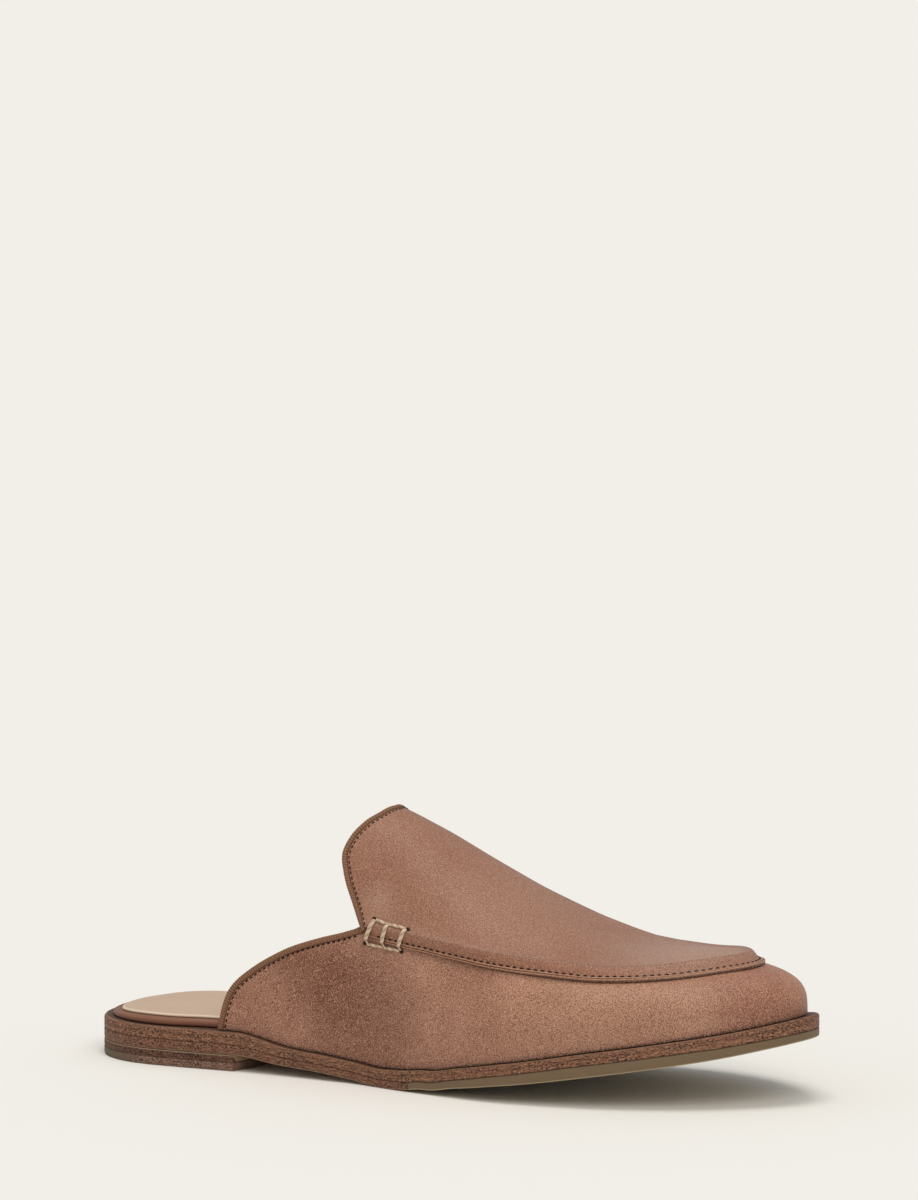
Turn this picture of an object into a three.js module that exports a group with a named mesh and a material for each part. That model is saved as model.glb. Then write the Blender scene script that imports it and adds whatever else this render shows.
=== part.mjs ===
// A right-foot mule: a slip-on shoe with a low stacked heel, a leather and rubber sole, an upper that
// is open at the back, and a raised apron whose tongue stands up over the instep.
// Millimetres. X runs from heel to toe, -Y is the outer (lateral) side, Z is up, and the floor is Z = 0.
// The origin is under the middle of the shoe's bounding box.
import * as THREE from 'three';
import { mergeVertices } from 'three/addons/utils/BufferGeometryUtils.js';

// Overall sizes
const LENGTH = 264;
const BALL_WIDTH = 92;
const HEEL_WIDTH = 64;
const INSTEP_HEIGHT = 85;
const TOE_SPRING = 22;
const CLEARANCE = 0.3;

// Sole and heel
const TOP_PIECE_THICKNESS = 2.6;
const LIFT_THICKNESS = 2.4;
const OUTSOLE_THICKNESS = 3.5;
const MIDSOLE_THICKNESS = 4.0;
const BREAST_LATERAL = 62;
const BREAST_MEDIAL = 74;
const RUBBER_START_LATERAL = 134;
const RUBBER_START_MEDIAL = 139;
const CAMBER = 1.6;
const LEDGE = 3.0;
const TOE_LEDGE = 1.4;
const EDGE_ROUNDING = 0.6;

// Insole and sock lining
const INSOLE_THICKNESS = 2.4;
const INSOLE_INSET = 3.0;
const INSOLE_ROUNDING = 1.1;
const SOCK_THICKNESS = 0.7;
const SOCK_INSET = 3.2;

// Upper, apron and bindings
const UPPER_WALL = 1.8;
const APRON_THICKNESS = 2.0;
const BINDING_WIDTH = 2.0;
const BINDING_LAP = 0.5;
const BINDING_ROUNDING = 0.6;

// How finely the forms are cut into flat faces
const SOLE_STEPS = 30;
const HEEL_STEPS = 16;
const SOLE_COLUMNS = 4;
const UPPER_ROWS = 32;
const APRON_ROWS = 30;
const BINDING_STEPS = 34;

// How far past the rims' junction the bindings stop, as shares of the way up a rib, and how fast a
// slanted end of a sole layer turns square.
const QUARTER_BINDING_STOP = 0.012;
const TONGUE_BINDING_STOP = 0.03;
const SLANT_POWER = 4;

const HEEL_HEIGHT = TOP_PIECE_THICKNESS + LIFT_THICKNESS + 2 * CLEARANCE;

// Plan of the sole. along: share of LENGTH. width: share of the width between heel and ball.
// swing: shift of the middle to the medial side, share of BALL_WIDTH.
const PLAN = [
  { along: 0.0, width: 0.0, swing: 0.0 },
  { along: 0.13, width: 0.0, swing: -0.002 },
  { along: 0.25, width: -0.1, swing: -0.01 },
  { along: 0.4, width: 0.0, swing: -0.024 },
  { along: 0.52, width: 0.53, swing: -0.02 },
  { along: 0.66, width: 1.0, swing: 0.0 },
  { along: 0.75, width: 0.97, swing: 0.018 },
  { along: 0.88, width: 0.64, swing: 0.036 },
  { along: 1.0, width: 0.0, swing: 0.05 },
];
const HEEL_ROUND_SHARE = 0.125;
const HEEL_ROUND_POWER = 2.2;
const TOE_ROUND_SHARE = 0.32;
const TOE_ROUND_POWERS = [2.6, 2.05];

// Underside of the outsole. heel: share of HEEL_HEIGHT. toe: share of TOE_SPRING.
const UNDERSIDE = [
  { along: 0.0, heel: 1.0, toe: 0.0 },
  { along: 0.235, heel: 1.0, toe: 0.0 },
  { along: 0.3, heel: 0.66, toe: 0.0 },
  { along: 0.36, heel: 0.48, toe: 0.0 },
  { along: 0.41, heel: 0.25, toe: 0.0 },
  { along: 0.465, heel: 0.0, toe: 0.0 },
  { along: 0.535, heel: 0.0, toe: 0.0 },
  { along: 0.58, heel: 0.0, toe: 0.08 },
  { along: 0.65, heel: 0.0, toe: 0.245 },
  { along: 0.75, heel: 0.0, toe: 0.45 },
  { along: 0.85, heel: 0.0, toe: 0.645 },
  { along: 0.92, heel: 0.0, toe: 0.79 },
  { along: 1.0, heel: 0.0, toe: 1.0 },
];

// How much of CAMBER the sole's edges rise by; its middle half stays flat across.
const CAMBER_ALONG = [
  { along: 0.46, share: 0.0 },
  { along: 0.5, share: 0.35 },
  { along: 0.53, share: 0.95 },
  { along: 0.57, share: 1.0 },
  { along: 0.62, share: 0.6 },
  { along: 0.67, share: 0.15 },
  { along: 0.71, share: 0.0 },
];

// Thickness of the insole, share of INSOLE_THICKNESS: it is skived thin at the heel's back.
const SEAT = [
  { along: 0.0, share: 0.5 },
  { along: 0.03, share: 0.55 },
  { along: 0.06, share: 0.8 },
  { along: 0.1, share: 0.97 },
  { along: 0.14, share: 1.0 },
  { along: 1.0, share: 1.0 },
];

// Layer thicknesses, shares of OUTSOLE_THICKNESS and MIDSOLE_THICKNESS.
const LAYERS = [
  { along: 0.0, outsole: 1.0, midsole: 0.97 },
  { along: 0.23, outsole: 0.98, midsole: 0.97 },
  { along: 0.34, outsole: 0.76, midsole: 0.74 },
  { along: 0.42, outsole: 0.76, midsole: 0.74 },
  { along: 0.52, outsole: 0.74, midsole: 0.9 },
  { along: 0.66, outsole: 1.0, midsole: 0.88 },
  { along: 0.76, outsole: 1.16, midsole: 0.9 },
  { along: 0.88, outsole: 1.08, midsole: 0.98 },
  { along: 1.0, outsole: 0.82, midsole: 1.16 },
];

// Crest of the last, share of INSTEP_HEIGHT above the floor.
const CREST = [
  { along: 0.18, height: 1.12 },
  { along: 0.3, height: 1.115 },
  { along: 0.4, height: 1.045 },
  { along: 0.463, height: 0.967 },
  { along: 0.53, height: 0.86 },
  { along: 0.6, height: 0.75 },
  { along: 0.67, height: 0.642 },
  { along: 0.735, height: 0.564 },
  { along: 0.78, height: 0.545 },
  { along: 0.82, height: 0.558 },
];
// Ribs run from the feather line up to the crest; ahead of FAN_START they turn about FAN_CENTRE.
const FAN_START = 0.57;
const FAN_CENTRE = 0.81;
const BULGE = 3.0;

// Shape of the ribs. in and up: how boxy a rib is, 2 for an ellipse. bulge: share of BULGE.
const RIBS = [
  { along: 0.18, in: 2.3, up: 2.3, bulge: 0.67 },
  { along: 0.42, in: 2.2, up: 2.2, bulge: 0.67 },
  { along: 0.6, in: 2.25, up: 2.2, bulge: 0.83 },
  { along: 0.75, in: 2.45, up: 2.8, bulge: 1.0 },
  { along: 0.87, in: 2.35, up: 3.7, bulge: 0.5 },
  { along: 0.95, in: 2.05, up: 4.1, bulge: 0.0 },
  { along: 1.0, in: 1.85, up: 4.2, bulge: -0.4 },
];

// Rim of the upper. up: share of the way up a rib. round: share of the way from heel to toe tip.
const QUARTER_RIM = [
  { up: 0.0, round: 0.307 },
  { up: 0.07, round: 0.317 },
  { up: 0.14, round: 0.342 },
  { up: 0.21, round: 0.374 },
  { up: 0.27, round: 0.41 },
  { up: 0.31, round: 0.433 },
  { up: 0.36, round: 0.455 },
];
const TONGUE_RIM = [
  { up: 0.33, round: 0.459 },
  { up: 0.36, round: 0.455 },
  { up: 0.42, round: 0.446 },
  { up: 0.53, round: 0.431 },
  { up: 0.6, round: 0.426 },
  { up: 0.67, round: 0.4285 },
  { up: 0.76, round: 0.4345 },
  { up: 0.88, round: 0.442 },
  { up: 1.0, round: 0.4445 },
];
// Lower edge of the apron.
const APRON_EDGE = [
  { round: 0.45, up: 0.333 },
  { round: 0.489, up: 0.357 },
  { round: 0.527, up: 0.385 },
  { round: 0.566, up: 0.41 },
  { round: 0.61, up: 0.437 },
  { round: 0.676, up: 0.468 },
  { round: 0.731, up: 0.482 },
  { round: 0.776, up: 0.493 },
  { round: 0.82, up: 0.505 },
  { round: 0.88, up: 0.518 },
  { round: 1.0, up: 0.525 },
];
// Thickness of the apron, from its edge to the crest. across: share of the way. thickness: share.
const APRON_SECTION = [
  { across: 0.0, thickness: 0.45 },
  { across: 0.035, thickness: 0.95 },
  { across: 0.09, thickness: 1.15 },
  { across: 0.18, thickness: 1.1 },
  { across: 0.28, thickness: 1.0 },
  { across: 0.38, thickness: 1.0 },
  { across: 0.5, thickness: 1.0 },
  { across: 0.62, thickness: 1.0 },
  { across: 0.74, thickness: 1.0 },
  { across: 0.87, thickness: 1.0 },
  { across: 1.0, thickness: 1.0 },
];

// A smooth curve through one column of a table that never overshoots its rows.
function curve(table, key, column) {
  const xs = table.map((row) => row[key]);
  const ys = table.map((row) => row[column]);
  const steps = xs.slice(1).map((x, i) => x - xs[i]);
  const slopes = steps.map((step, i) => (ys[i + 1] - ys[i]) / step);
  const tangents = xs.map((x, i) => {
    const before = slopes[Math.max(i - 1, 0)];
    const after = slopes[Math.min(i, slopes.length - 1)];
    return before * after <= 0 ? 0 : (2 * before * after) / (before + after);
  });
  return (value) => {
    const x = THREE.MathUtils.clamp(value, xs[0], xs[xs.length - 1]);
    let i = 0;
    while (i < steps.length - 1 && x > xs[i + 1]) i += 1;
    const t = (x - xs[i]) / steps[i];
    const rise = steps[i] * (tangents[i] * t * (1 - t) ** 2 - tangents[i + 1] * t * t * (1 - t));
    return ys[i] * (1 + 2 * t) * (1 - t) ** 2 + ys[i + 1] * t * t * (3 - 2 * t) + rise;
  };
}

const planWidth = curve(PLAN, 'along', 'width');
const planSwing = curve(PLAN, 'along', 'swing');
const undersideHeel = curve(UNDERSIDE, 'along', 'heel');
const undersideToe = curve(UNDERSIDE, 'along', 'toe');
const outsoleShare = curve(LAYERS, 'along', 'outsole');
const midsoleShare = curve(LAYERS, 'along', 'midsole');
const camberShare = curve(CAMBER_ALONG, 'along', 'share');
const seatShare = curve(SEAT, 'along', 'share');
const crestShare = curve(CREST, 'along', 'height');
const ribIn = curve(RIBS, 'along', 'in');
const ribUp = curve(RIBS, 'along', 'up');
const ribBulge = curve(RIBS, 'along', 'bulge');
const quarterRim = curve(QUARTER_RIM, 'up', 'round');
const tongueRim = curve(TONGUE_RIM, 'up', 'round');
const apronEdge = curve(APRON_EDGE, 'round', 'up');
const JUNCTION_UP = QUARTER_RIM[QUARTER_RIM.length - 1].up;

// Heights at x: the outsole's underside, the seat of the midsole and the feather line on its top.
function underside(x) {
  return undersideHeel(x / LENGTH) * HEEL_HEIGHT + undersideToe(x / LENGTH) * TOE_SPRING;
}
function outsoleTop(x) {
  return underside(x) + outsoleShare(x / LENGTH) * OUTSOLE_THICKNESS;
}
function midsoleTop(x) {
  return outsoleTop(x) + CLEARANCE + midsoleShare(x / LENGTH) * MIDSOLE_THICKNESS;
}

function middle(x) {
  return planSwing(x / LENGTH) * BALL_WIDTH;
}
function halfWidth(x) {
  const along = THREE.MathUtils.clamp(x / LENGTH, 0, 1);
  const width = HEEL_WIDTH + planWidth(along) * (BALL_WIDTH - HEEL_WIDTH);
  const fromHeel = Math.min(along / HEEL_ROUND_SHARE, 1);
  const heel = (1 - (1 - fromHeel) ** HEEL_ROUND_POWER) ** (1 / HEEL_ROUND_POWER);
  const toToe = Math.max((along - 1 + TOE_ROUND_SHARE) / TOE_ROUND_SHARE, 0);
  const toe = (1 - toToe ** TOE_ROUND_POWERS[0]) ** (1 / TOE_ROUND_POWERS[1]);
  return 0.5 * width * heel * toe;
}

// How far every layer of the sole is lifted at a place, by the sole's camber.
function edgeLift({ x, y }) {
  const off = Math.abs(y - middle(x)) / Math.max(halfWidth(x), 1e-6);
  return camberShare(x / LENGTH) * CAMBER * THREE.MathUtils.clamp(2 * off - 1, 0, 1);
}

// A point of the sole's outline. side: -1 lateral, 1 medial. round: 0 heel back, 1 toe tip.
function outlinePoint(side, round) {
  const x = 0.5 * LENGTH * (1 - Math.cos(Math.PI * round));
  const beyondEnd = round < 0 || round > 1 ? -1 : 1;
  return new THREE.Vector2(x, middle(x) + side * beyondEnd * halfWidth(x));
}
// The same point moved in from the edge, square to it.
function insetPoint(side, round, inset) {
  const step = 1e-4;
  const ahead = outlinePoint(side, round + step);
  const behind = outlinePoint(side, round - step);
  const along = ahead.sub(behind).normalize();
  const inward = new THREE.Vector2(along.y * side, -along.x * side);
  return outlinePoint(side, round).addScaledVector(inward, inset);
}
function roundAt(x) {
  return Math.acos(1 - (2 * x) / LENGTH) / Math.PI;
}

// Width of the ledge of the midsole round the upper, wider at the toe.
function ledgeAt(round) {
  return LEDGE + TOE_LEDGE * THREE.MathUtils.smoothstep(round, 0.86, 0.98);
}

// A point of the last's surface, up a rib from the feather line (0) to the crest (1).
function lastPoint(side, round, up) {
  const foot = insetPoint(side, round, ledgeAt(round));
  const along = foot.x / LENGTH;
  const front = (1 - FAN_START) * LENGTH - ledgeAt(1);
  const turned = Math.max((foot.x - FAN_START * LENGTH) / front, 0);
  const fanLength = (FAN_CENTRE - FAN_START) * LENGTH;
  const slow = front / fanLength;
  const fanned = FAN_CENTRE * LENGTH - fanLength * (1 - Math.min(turned, 1)) ** slow;
  const crestX = turned > 0 ? fanned : foot.x;
  const crest = new THREE.Vector2(crestX, middle(crestX));
  const reach = foot.clone().sub(crest);
  const angle = 0.5 * Math.PI * up;
  const out = Math.cos(angle) ** (2 / ribIn(along));
  const rise = Math.sin(angle) ** (2 / ribUp(along));
  const bulge = ribBulge(along) * BULGE * Math.sin(2 * angle) * Math.cos(angle);
  const plan = crest.clone().addScaledVector(reach, out + bulge / reach.length());
  const low = midsoleTop(foot.x) + CLEARANCE + edgeLift(foot);
  const high = crestShare(crestX / LENGTH) * INSTEP_HEIGHT;
  return new THREE.Vector3(plan.x, plan.y, low + (high - low) * rise);
}

// A solid from vertices and triangles, with doubled vertices and collapsed triangles removed.
function solid(vertices, triangles) {
  const geometry = new THREE.BufferGeometry();
  const numbers = vertices.flatMap((vertex) => [vertex.x, vertex.y, vertex.z]);
  geometry.setAttribute('position', new THREE.Float32BufferAttribute(numbers, 3));
  geometry.setIndex(triangles.flat());
  const merged = mergeVertices(geometry, 1e-3);
  const index = Array.from(merged.index.array);
  const kept = [];
  for (let i = 0; i < index.length; i += 3) {
    const [a, b, c] = index.slice(i, i + 3);
    if (a !== b && b !== c && c !== a) kept.push(a, b, c);
  }
  merged.setIndex(kept);
  merged.computeVertexNormals();
  return merged;
}

// The two triangles of a four-sided face.
function face(a, b, c, d) {
  return [[a, b, c], [a, c, d]];
}

// A layer of the sole: rings of its edge section, closed below, above and at its ends.
// ends: the outline's start and end on each side, as { lateral: [from, to], medial: [from, to] };
// a slanted end leaves the rows square across a little way in from it.
// section: the edge from bottom to top, as { inset, height } with height a share of the layer.
function layer({ ends, steps, section, inset, low, high }) {
  const { lateral, medial } = ends;
  const vertices = [];
  const index = (ring, column, step) => (ring * (steps + 1) + step) * (SOLE_COLUMNS + 1) + column;
  for (const { inset: cut, height } of section) {
    for (let step = 0; step <= steps; step += 1) {
      const share = step / steps;
      const slantStart = (medial[0] - lateral[0]) * (1 - share) ** SLANT_POWER;
      const slantEnd = (medial[1] - lateral[1]) * share ** SLANT_POWER;
      const round = THREE.MathUtils.lerp(lateral[0], lateral[1], share);
      const near = insetPoint(-1, round, inset(round) + cut);
      const otherRound = round + slantStart + slantEnd;
      const far = insetPoint(1, otherRound, inset(otherRound) + cut);
      for (let column = 0; column <= SOLE_COLUMNS; column += 1) {
        const plan = near.clone().lerp(far, column / SOLE_COLUMNS);
        const z = THREE.MathUtils.lerp(low(plan.x), high(plan.x), height);
        vertices.push(new THREE.Vector3(plan.x, plan.y, z + edgeLift(plan)));
      }
    }
  }
  const triangles = [];
  const join = (...corners) => triangles.push(...face(...corners.map((corner) => index(...corner))));
  const top = section.length - 1;
  const edge = SOLE_COLUMNS;
  for (let step = 0; step < steps; step += 1) {
    const next = step + 1;
    for (let column = 0; column < SOLE_COLUMNS; column += 1) {
      const beside = column + 1;
      join([0, column, step], [0, beside, step], [0, beside, next], [0, column, next]);
      join([top, column, step], [top, column, next], [top, beside, next], [top, beside, step]);
    }
    for (let ring = 0; ring < top; ring += 1) {
      join([ring, 0, step], [ring, 0, next], [ring + 1, 0, next], [ring + 1, 0, step]);
      join([ring, edge, next], [ring, edge, step], [ring + 1, edge, step], [ring + 1, edge, next]);
    }
  }
  for (let ring = 0; ring < top; ring += 1) {
    const up = ring + 1;
    for (let column = 0; column < SOLE_COLUMNS; column += 1) {
      const beside = column + 1;
      join([ring, beside, 0], [ring, column, 0], [up, column, 0], [up, beside, 0]);
      join([ring, column, steps], [ring, beside, steps], [up, beside, steps], [up, column, steps]);
    }
  }
  return solid(vertices, triangles);
}

// A sheet over both sides of the last, from its rim (row 0) to the toe, where it folds on itself.
// pointAt(side, along, across) with across 0 at the lower edge and 1 at the crest.
function sheet(rows, across, pointAt) {
  const columns = 2 * across.length - 1;
  const vertices = [];
  for (let row = 0; row <= rows; row += 1) {
    for (let column = 0; column < columns; column += 1) {
      const lateral = column < across.length;
      const share = lateral ? across[column] : across[columns - 1 - column];
      vertices.push(pointAt(lateral ? -1 : 1, row / rows, share));
    }
  }
  const index = (row, column) => {
    const folded = row === rows ? Math.min(column, columns - 1 - column) : column;
    return row * columns + folded;
  };
  const triangles = [];
  for (let row = 0; row < rows; row += 1) {
    for (let column = 0; column < columns - 1; column += 1) {
      const corners = [index(row, column), index(row + 1, column)];
      corners.push(index(row + 1, column + 1), index(row, column + 1));
      triangles.push(...face(...corners));
    }
  }
  const border = [];
  for (let column = 0; column < columns; column += 1) border.push(index(0, column));
  for (let row = 1; row <= rows; row += 1) border.push(index(row, columns - 1));
  for (let row = rows - 1; row > 0; row -= 1) border.push(index(row, 0));
  return { vertices, triangles, border, columns };
}

// Outward direction at each vertex of a sheet.
function sheetNormals({ vertices, triangles }) {
  const normals = vertices.map(() => new THREE.Vector3());
  for (const [a, b, c] of triangles) {
    const one = vertices[b].clone().sub(vertices[a]);
    const other = vertices[c].clone().sub(vertices[a]);
    const across = one.cross(other);
    for (const corner of [a, b, c]) normals[corner].add(across);
  }
  return normals.map((normal) => normal.normalize());
}

// A shell between two offsets of a sheet; each offset is a function of the column.
function shell(form, inner, outer) {
  const normals = sheetNormals(form);
  const offset = (distance) => (vertex, i) => {
    const column = i % form.columns;
    return vertex.clone().addScaledVector(normals[i], distance(column));
  };
  const count = form.vertices.length;
  const vertices = [...form.vertices.map(offset(outer)), ...form.vertices.map(offset(inner))];
  const triangles = [...form.triangles];
  for (const [a, b, c] of form.triangles) triangles.push([c + count, b + count, a + count]);
  form.border.forEach((from, i) => {
    const to = form.border[(i + 1) % form.border.length];
    triangles.push(...face(from, to, to + count, from + count));
  });
  return solid(vertices, triangles);
}

// A bar along a rim: its section runs out past the rim, and inside and outside of the last.
function bar(steps, pointAt, inside, outside) {
  const path = [];
  for (let step = 0; step <= steps; step += 1) path.push(pointAt(step / steps));
  const vertices = [];
  path.forEach(({ point, normal, away }) => {
    const corner = (out, across) =>
      point.clone().addScaledVector(away, out).addScaledVector(normal, across);
    const near = CLEARANCE;
    const far = CLEARANCE + BINDING_WIDTH;
    const soft = BINDING_ROUNDING;
    vertices.push(corner(near, -inside), corner(far - soft, -inside), corner(far, -inside + soft));
    vertices.push(corner(far, outside - soft), corner(far - soft, outside), corner(near, outside));
  });
  const size = 6;
  const triangles = [];
  for (let step = 0; step < steps; step += 1) {
    for (let i = 0; i < size; i += 1) {
      const j = (i + 1) % size;
      const corners = [step * size + i, (step + 1) * size + i];
      corners.push((step + 1) * size + j, step * size + j);
      triangles.push(...face(...corners));
    }
  }
  for (let i = 1; i < size - 1; i += 1) {
    triangles.push([0, i, i + 1]);
    triangles.push([steps * size, steps * size + i + 1, steps * size + i]);
  }
  return solid(vertices, triangles);
}

// Where the rim lies at one height of a rib, and the frame that a binding follows there.
function rimFrame(side, rim, up) {
  const small = 0.004;
  const round = rim(up);
  const point = lastPoint(side, round, up);
  const low = Math.max(up - small, 0);
  const high = Math.min(up + small, 1);
  const upward = lastPoint(side, round, high).sub(lastPoint(side, round, low));
  const forward = lastPoint(side, round + small, up).sub(lastPoint(side, round - small, up));
  const normal = forward.clone().cross(upward).multiplyScalar(-side).normalize();
  const edge = lastPoint(side, rim(high), high).sub(lastPoint(side, rim(low), low)).normalize();
  const away = edge.clone().cross(normal).multiplyScalar(side).normalize();
  return { point, normal, away };
}

const EDGE_SECTION = [
  { inset: EDGE_ROUNDING, height: 0.0 },
  { inset: 0.0, height: 0.18 },
  { inset: 0.0, height: 0.82 },
  { inset: EDGE_ROUNDING, height: 1.0 },
];
const wholeOutline = { lateral: [0, 1], medial: [0, 1] };
const noInset = () => 0;

function topPiece() {
  return layer({
    ends: { lateral: [0, roundAt(BREAST_LATERAL)], medial: [0, roundAt(BREAST_MEDIAL)] },
    steps: HEEL_STEPS,
    section: EDGE_SECTION,
    inset: noInset,
    low: () => 0,
    high: () => TOP_PIECE_THICKNESS,
  });
}

function heelLift() {
  return layer({
    ends: { lateral: [0, roundAt(BREAST_LATERAL)], medial: [0, roundAt(BREAST_MEDIAL)] },
    steps: HEEL_STEPS,
    section: EDGE_SECTION,
    inset: noInset,
    low: () => TOP_PIECE_THICKNESS + CLEARANCE,
    high: (x) => underside(x) - CLEARANCE,
  });
}

function rearOutsole() {
  const lateral = roundAt(RUBBER_START_LATERAL);
  const medial = roundAt(RUBBER_START_MEDIAL);
  return layer({
    ends: { lateral: [0, lateral], medial: [0, medial] },
    steps: SOLE_STEPS,
    section: EDGE_SECTION,
    inset: noInset,
    low: underside,
    high: outsoleTop,
  });
}

function forefootOutsole() {
  const lateral = roundAt(RUBBER_START_LATERAL + CLEARANCE);
  const medial = roundAt(RUBBER_START_MEDIAL + CLEARANCE);
  return layer({
    ends: { lateral: [lateral, 1], medial: [medial, 1] },
    steps: SOLE_STEPS,
    section: EDGE_SECTION,
    inset: noInset,
    low: underside,
    high: outsoleTop,
  });
}

function midsole() {
  return layer({
    ends: wholeOutline,
    steps: SOLE_STEPS + HEEL_STEPS,
    section: EDGE_SECTION,
    inset: noInset,
    low: (x) => outsoleTop(x) + CLEARANCE,
    high: midsoleTop,
  });
}

// The insole shows past the quarters at the heel and fits inside the upper's wall ahead of them.
function insoleInset(round) {
  const inside = ledgeAt(round) + UPPER_WALL + BINDING_LAP + CLEARANCE;
  const quarterEnd = QUARTER_RIM[0].round;
  const share = THREE.MathUtils.smoothstep(round, 0.76 * quarterEnd, 0.94 * quarterEnd);
  return THREE.MathUtils.lerp(INSOLE_INSET, inside, share);
}
function insoleTop(x) {
  return midsoleTop(x) + CLEARANCE + seatShare(x / LENGTH) * INSOLE_THICKNESS;
}

function insole() {
  return layer({
    ends: wholeOutline,
    steps: SOLE_STEPS + HEEL_STEPS,
    section: [
      { inset: 0.3 * INSOLE_ROUNDING, height: 0.0 },
      { inset: 0.0, height: 0.25 },
      { inset: 0.0, height: 0.65 },
      { inset: INSOLE_ROUNDING, height: 1.0 },
    ],
    inset: insoleInset,
    low: (x) => midsoleTop(x) + CLEARANCE,
    high: insoleTop,
  });
}

function sockLining() {
  return layer({
    ends: wholeOutline,
    steps: SOLE_STEPS,
    section: [
      { inset: 0.0, height: 0.0 },
      { inset: 0.0, height: 0.5 },
      { inset: 0.5 * SOCK_THICKNESS, height: 1.0 },
    ],
    inset: (round) => insoleInset(round) + SOCK_INSET,
    low: (x) => insoleTop(x) + CLEARANCE,
    high: (x) => insoleTop(x) + CLEARANCE + SOCK_THICKNESS,
  });
}

// The rim runs up the quarter as far as the junction, then up the tongue.
function upperRim(up) {
  return up < JUNCTION_UP ? quarterRim(up) : tongueRim(up);
}

function upper() {
  const below = [0, 0.07, 0.14, 0.21, 0.27, 0.32, JUNCTION_UP];
  const above = [0.42, 0.5, 0.58, 0.66, 0.73, 0.8, 0.87, 0.94, 1];
  const form = sheet(UPPER_ROWS, [...below, ...above], (side, along, up) => {
    const rim = upperRim(up);
    return lastPoint(side, rim + (1 - rim) * along, up);
  });
  return shell(form, () => -UPPER_WALL, () => 0);
}

// Place on the apron: round and up depend on each other, so they are settled in a few turns.
function apronPlace(along, across) {
  let up = across;
  let round = 0;
  for (let turn = 0; turn < 12; turn += 1) {
    const rim = tongueRim(up);
    round = rim + (1 - rim) * along;
    const edge = apronEdge(round);
    up = edge + (1 - edge) * across;
  }
  return { round, up };
}

function apron() {
  const across = APRON_SECTION.map((row) => row.across);
  const form = sheet(APRON_ROWS, across, (side, along, share) => {
    const { round, up } = apronPlace(along, share);
    return lastPoint(side, round, up);
  });
  const thickness = (column) => {
    const row = APRON_SECTION[Math.min(column, form.columns - 1 - column)];
    return row.thickness * APRON_THICKNESS;
  };
  return shell(form, () => CLEARANCE, (column) => CLEARANCE + thickness(column));
}

function quarterBinding(side) {
  const top = JUNCTION_UP - QUARTER_BINDING_STOP;
  const place = (share) => rimFrame(side, quarterRim, side < 0 ? top * (1 - share) : top * share);
  return bar(BINDING_STEPS / 2, place, UPPER_WALL + BINDING_LAP, BINDING_LAP);
}

function tongueBinding() {
  const start = JUNCTION_UP + TONGUE_BINDING_STOP;
  const place = (share) => {
    const lateral = share > 0.5;
    const fromEnd = lateral ? 2 * (1 - share) : 2 * share;
    return rimFrame(lateral ? -1 : 1, tongueRim, start + (1 - start) * fromEnd);
  };
  const outside = CLEARANCE + APRON_THICKNESS + BINDING_LAP;
  return bar(BINDING_STEPS, place, UPPER_WALL + BINDING_LAP, outside);
}

// The group's origin lies under the middle of the midsole, the widest and longest piece.
const group = new THREE.Group();
const midsoleForm = midsole();
midsoleForm.computeBoundingBox();
const centre = midsoleForm.boundingBox.getCenter(new THREE.Vector3());

function add(name, geometry, color, roughness) {
  const material = new THREE.MeshStandardMaterial({ color, roughness, metalness: 0 });
  const mesh = new THREE.Mesh(geometry, material);
  mesh.name = name;
  mesh.position.set(-centre.x, -centre.y, 0);
  group.add(mesh);
}

add('heel_top_piece', topPiece(), 0x6b5138, 0.6);
add('heel_lift', heelLift(), 0x64473a, 0.7);
add('rear_outsole', rearOutsole(), 0x6a4a3c, 0.7);
add('forefoot_outsole', forefootOutsole(), 0x6f5a40, 0.6);
add('midsole', midsoleForm, 0x6d4a3c, 0.7);
add('insole', insole(), 0x8a6456, 0.6);
add('sock_lining', sockLining(), 0xb59c86, 0.8);
add('upper', upper(), 0x9c6e5c, 0.55);
add('apron', apron(), 0xa17463, 0.55);
add('quarter_binding_lateral', quarterBinding(-1), 0x7a5a45, 0.8);
add('quarter_binding_medial', quarterBinding(1), 0x7a5a45, 0.8);
add('tongue_binding', tongueBinding(), 0x7a5a45, 0.8);

export default group;
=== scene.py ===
import math

import bmesh
import bpy
import numpy as np
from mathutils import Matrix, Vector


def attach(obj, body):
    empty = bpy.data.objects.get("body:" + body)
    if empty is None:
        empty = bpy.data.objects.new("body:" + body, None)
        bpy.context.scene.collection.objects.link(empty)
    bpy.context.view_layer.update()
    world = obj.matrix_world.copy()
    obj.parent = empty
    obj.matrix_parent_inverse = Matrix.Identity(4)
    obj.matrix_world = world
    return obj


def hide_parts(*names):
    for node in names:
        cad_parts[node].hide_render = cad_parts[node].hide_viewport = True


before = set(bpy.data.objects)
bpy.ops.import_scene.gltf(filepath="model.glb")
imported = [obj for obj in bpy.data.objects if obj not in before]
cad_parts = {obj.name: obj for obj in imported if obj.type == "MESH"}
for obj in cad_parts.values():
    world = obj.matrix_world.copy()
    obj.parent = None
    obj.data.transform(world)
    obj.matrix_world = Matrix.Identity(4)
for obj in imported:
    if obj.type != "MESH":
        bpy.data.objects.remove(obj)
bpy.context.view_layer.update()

# A right-foot mule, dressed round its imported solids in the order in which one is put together.
# Shapes are worked out in millimetres, X from the heel's back to the toe tip, -Y the outer side and Z
# up from the floor, with the solids' own curves, and placed in the frame in metres.

# The heel
# One lift of stacked sole leather over a top piece of moulded rubber, cemented and nailed under the seat.
# Both are trimmed with the sole and sanded flush with it, then stained and burnished.
LENGTH = 264.0
HEEL_WIDTH = 64.0
BALL_WIDTH = 92.0
TOE_SPRING = 22.0
CAMBER = 1.6
GAP = 0.3
TOP_PIECE = 2.6
LIFT = 2.4
HEEL_HEIGHT = TOP_PIECE + LIFT + 2 * GAP
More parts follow.
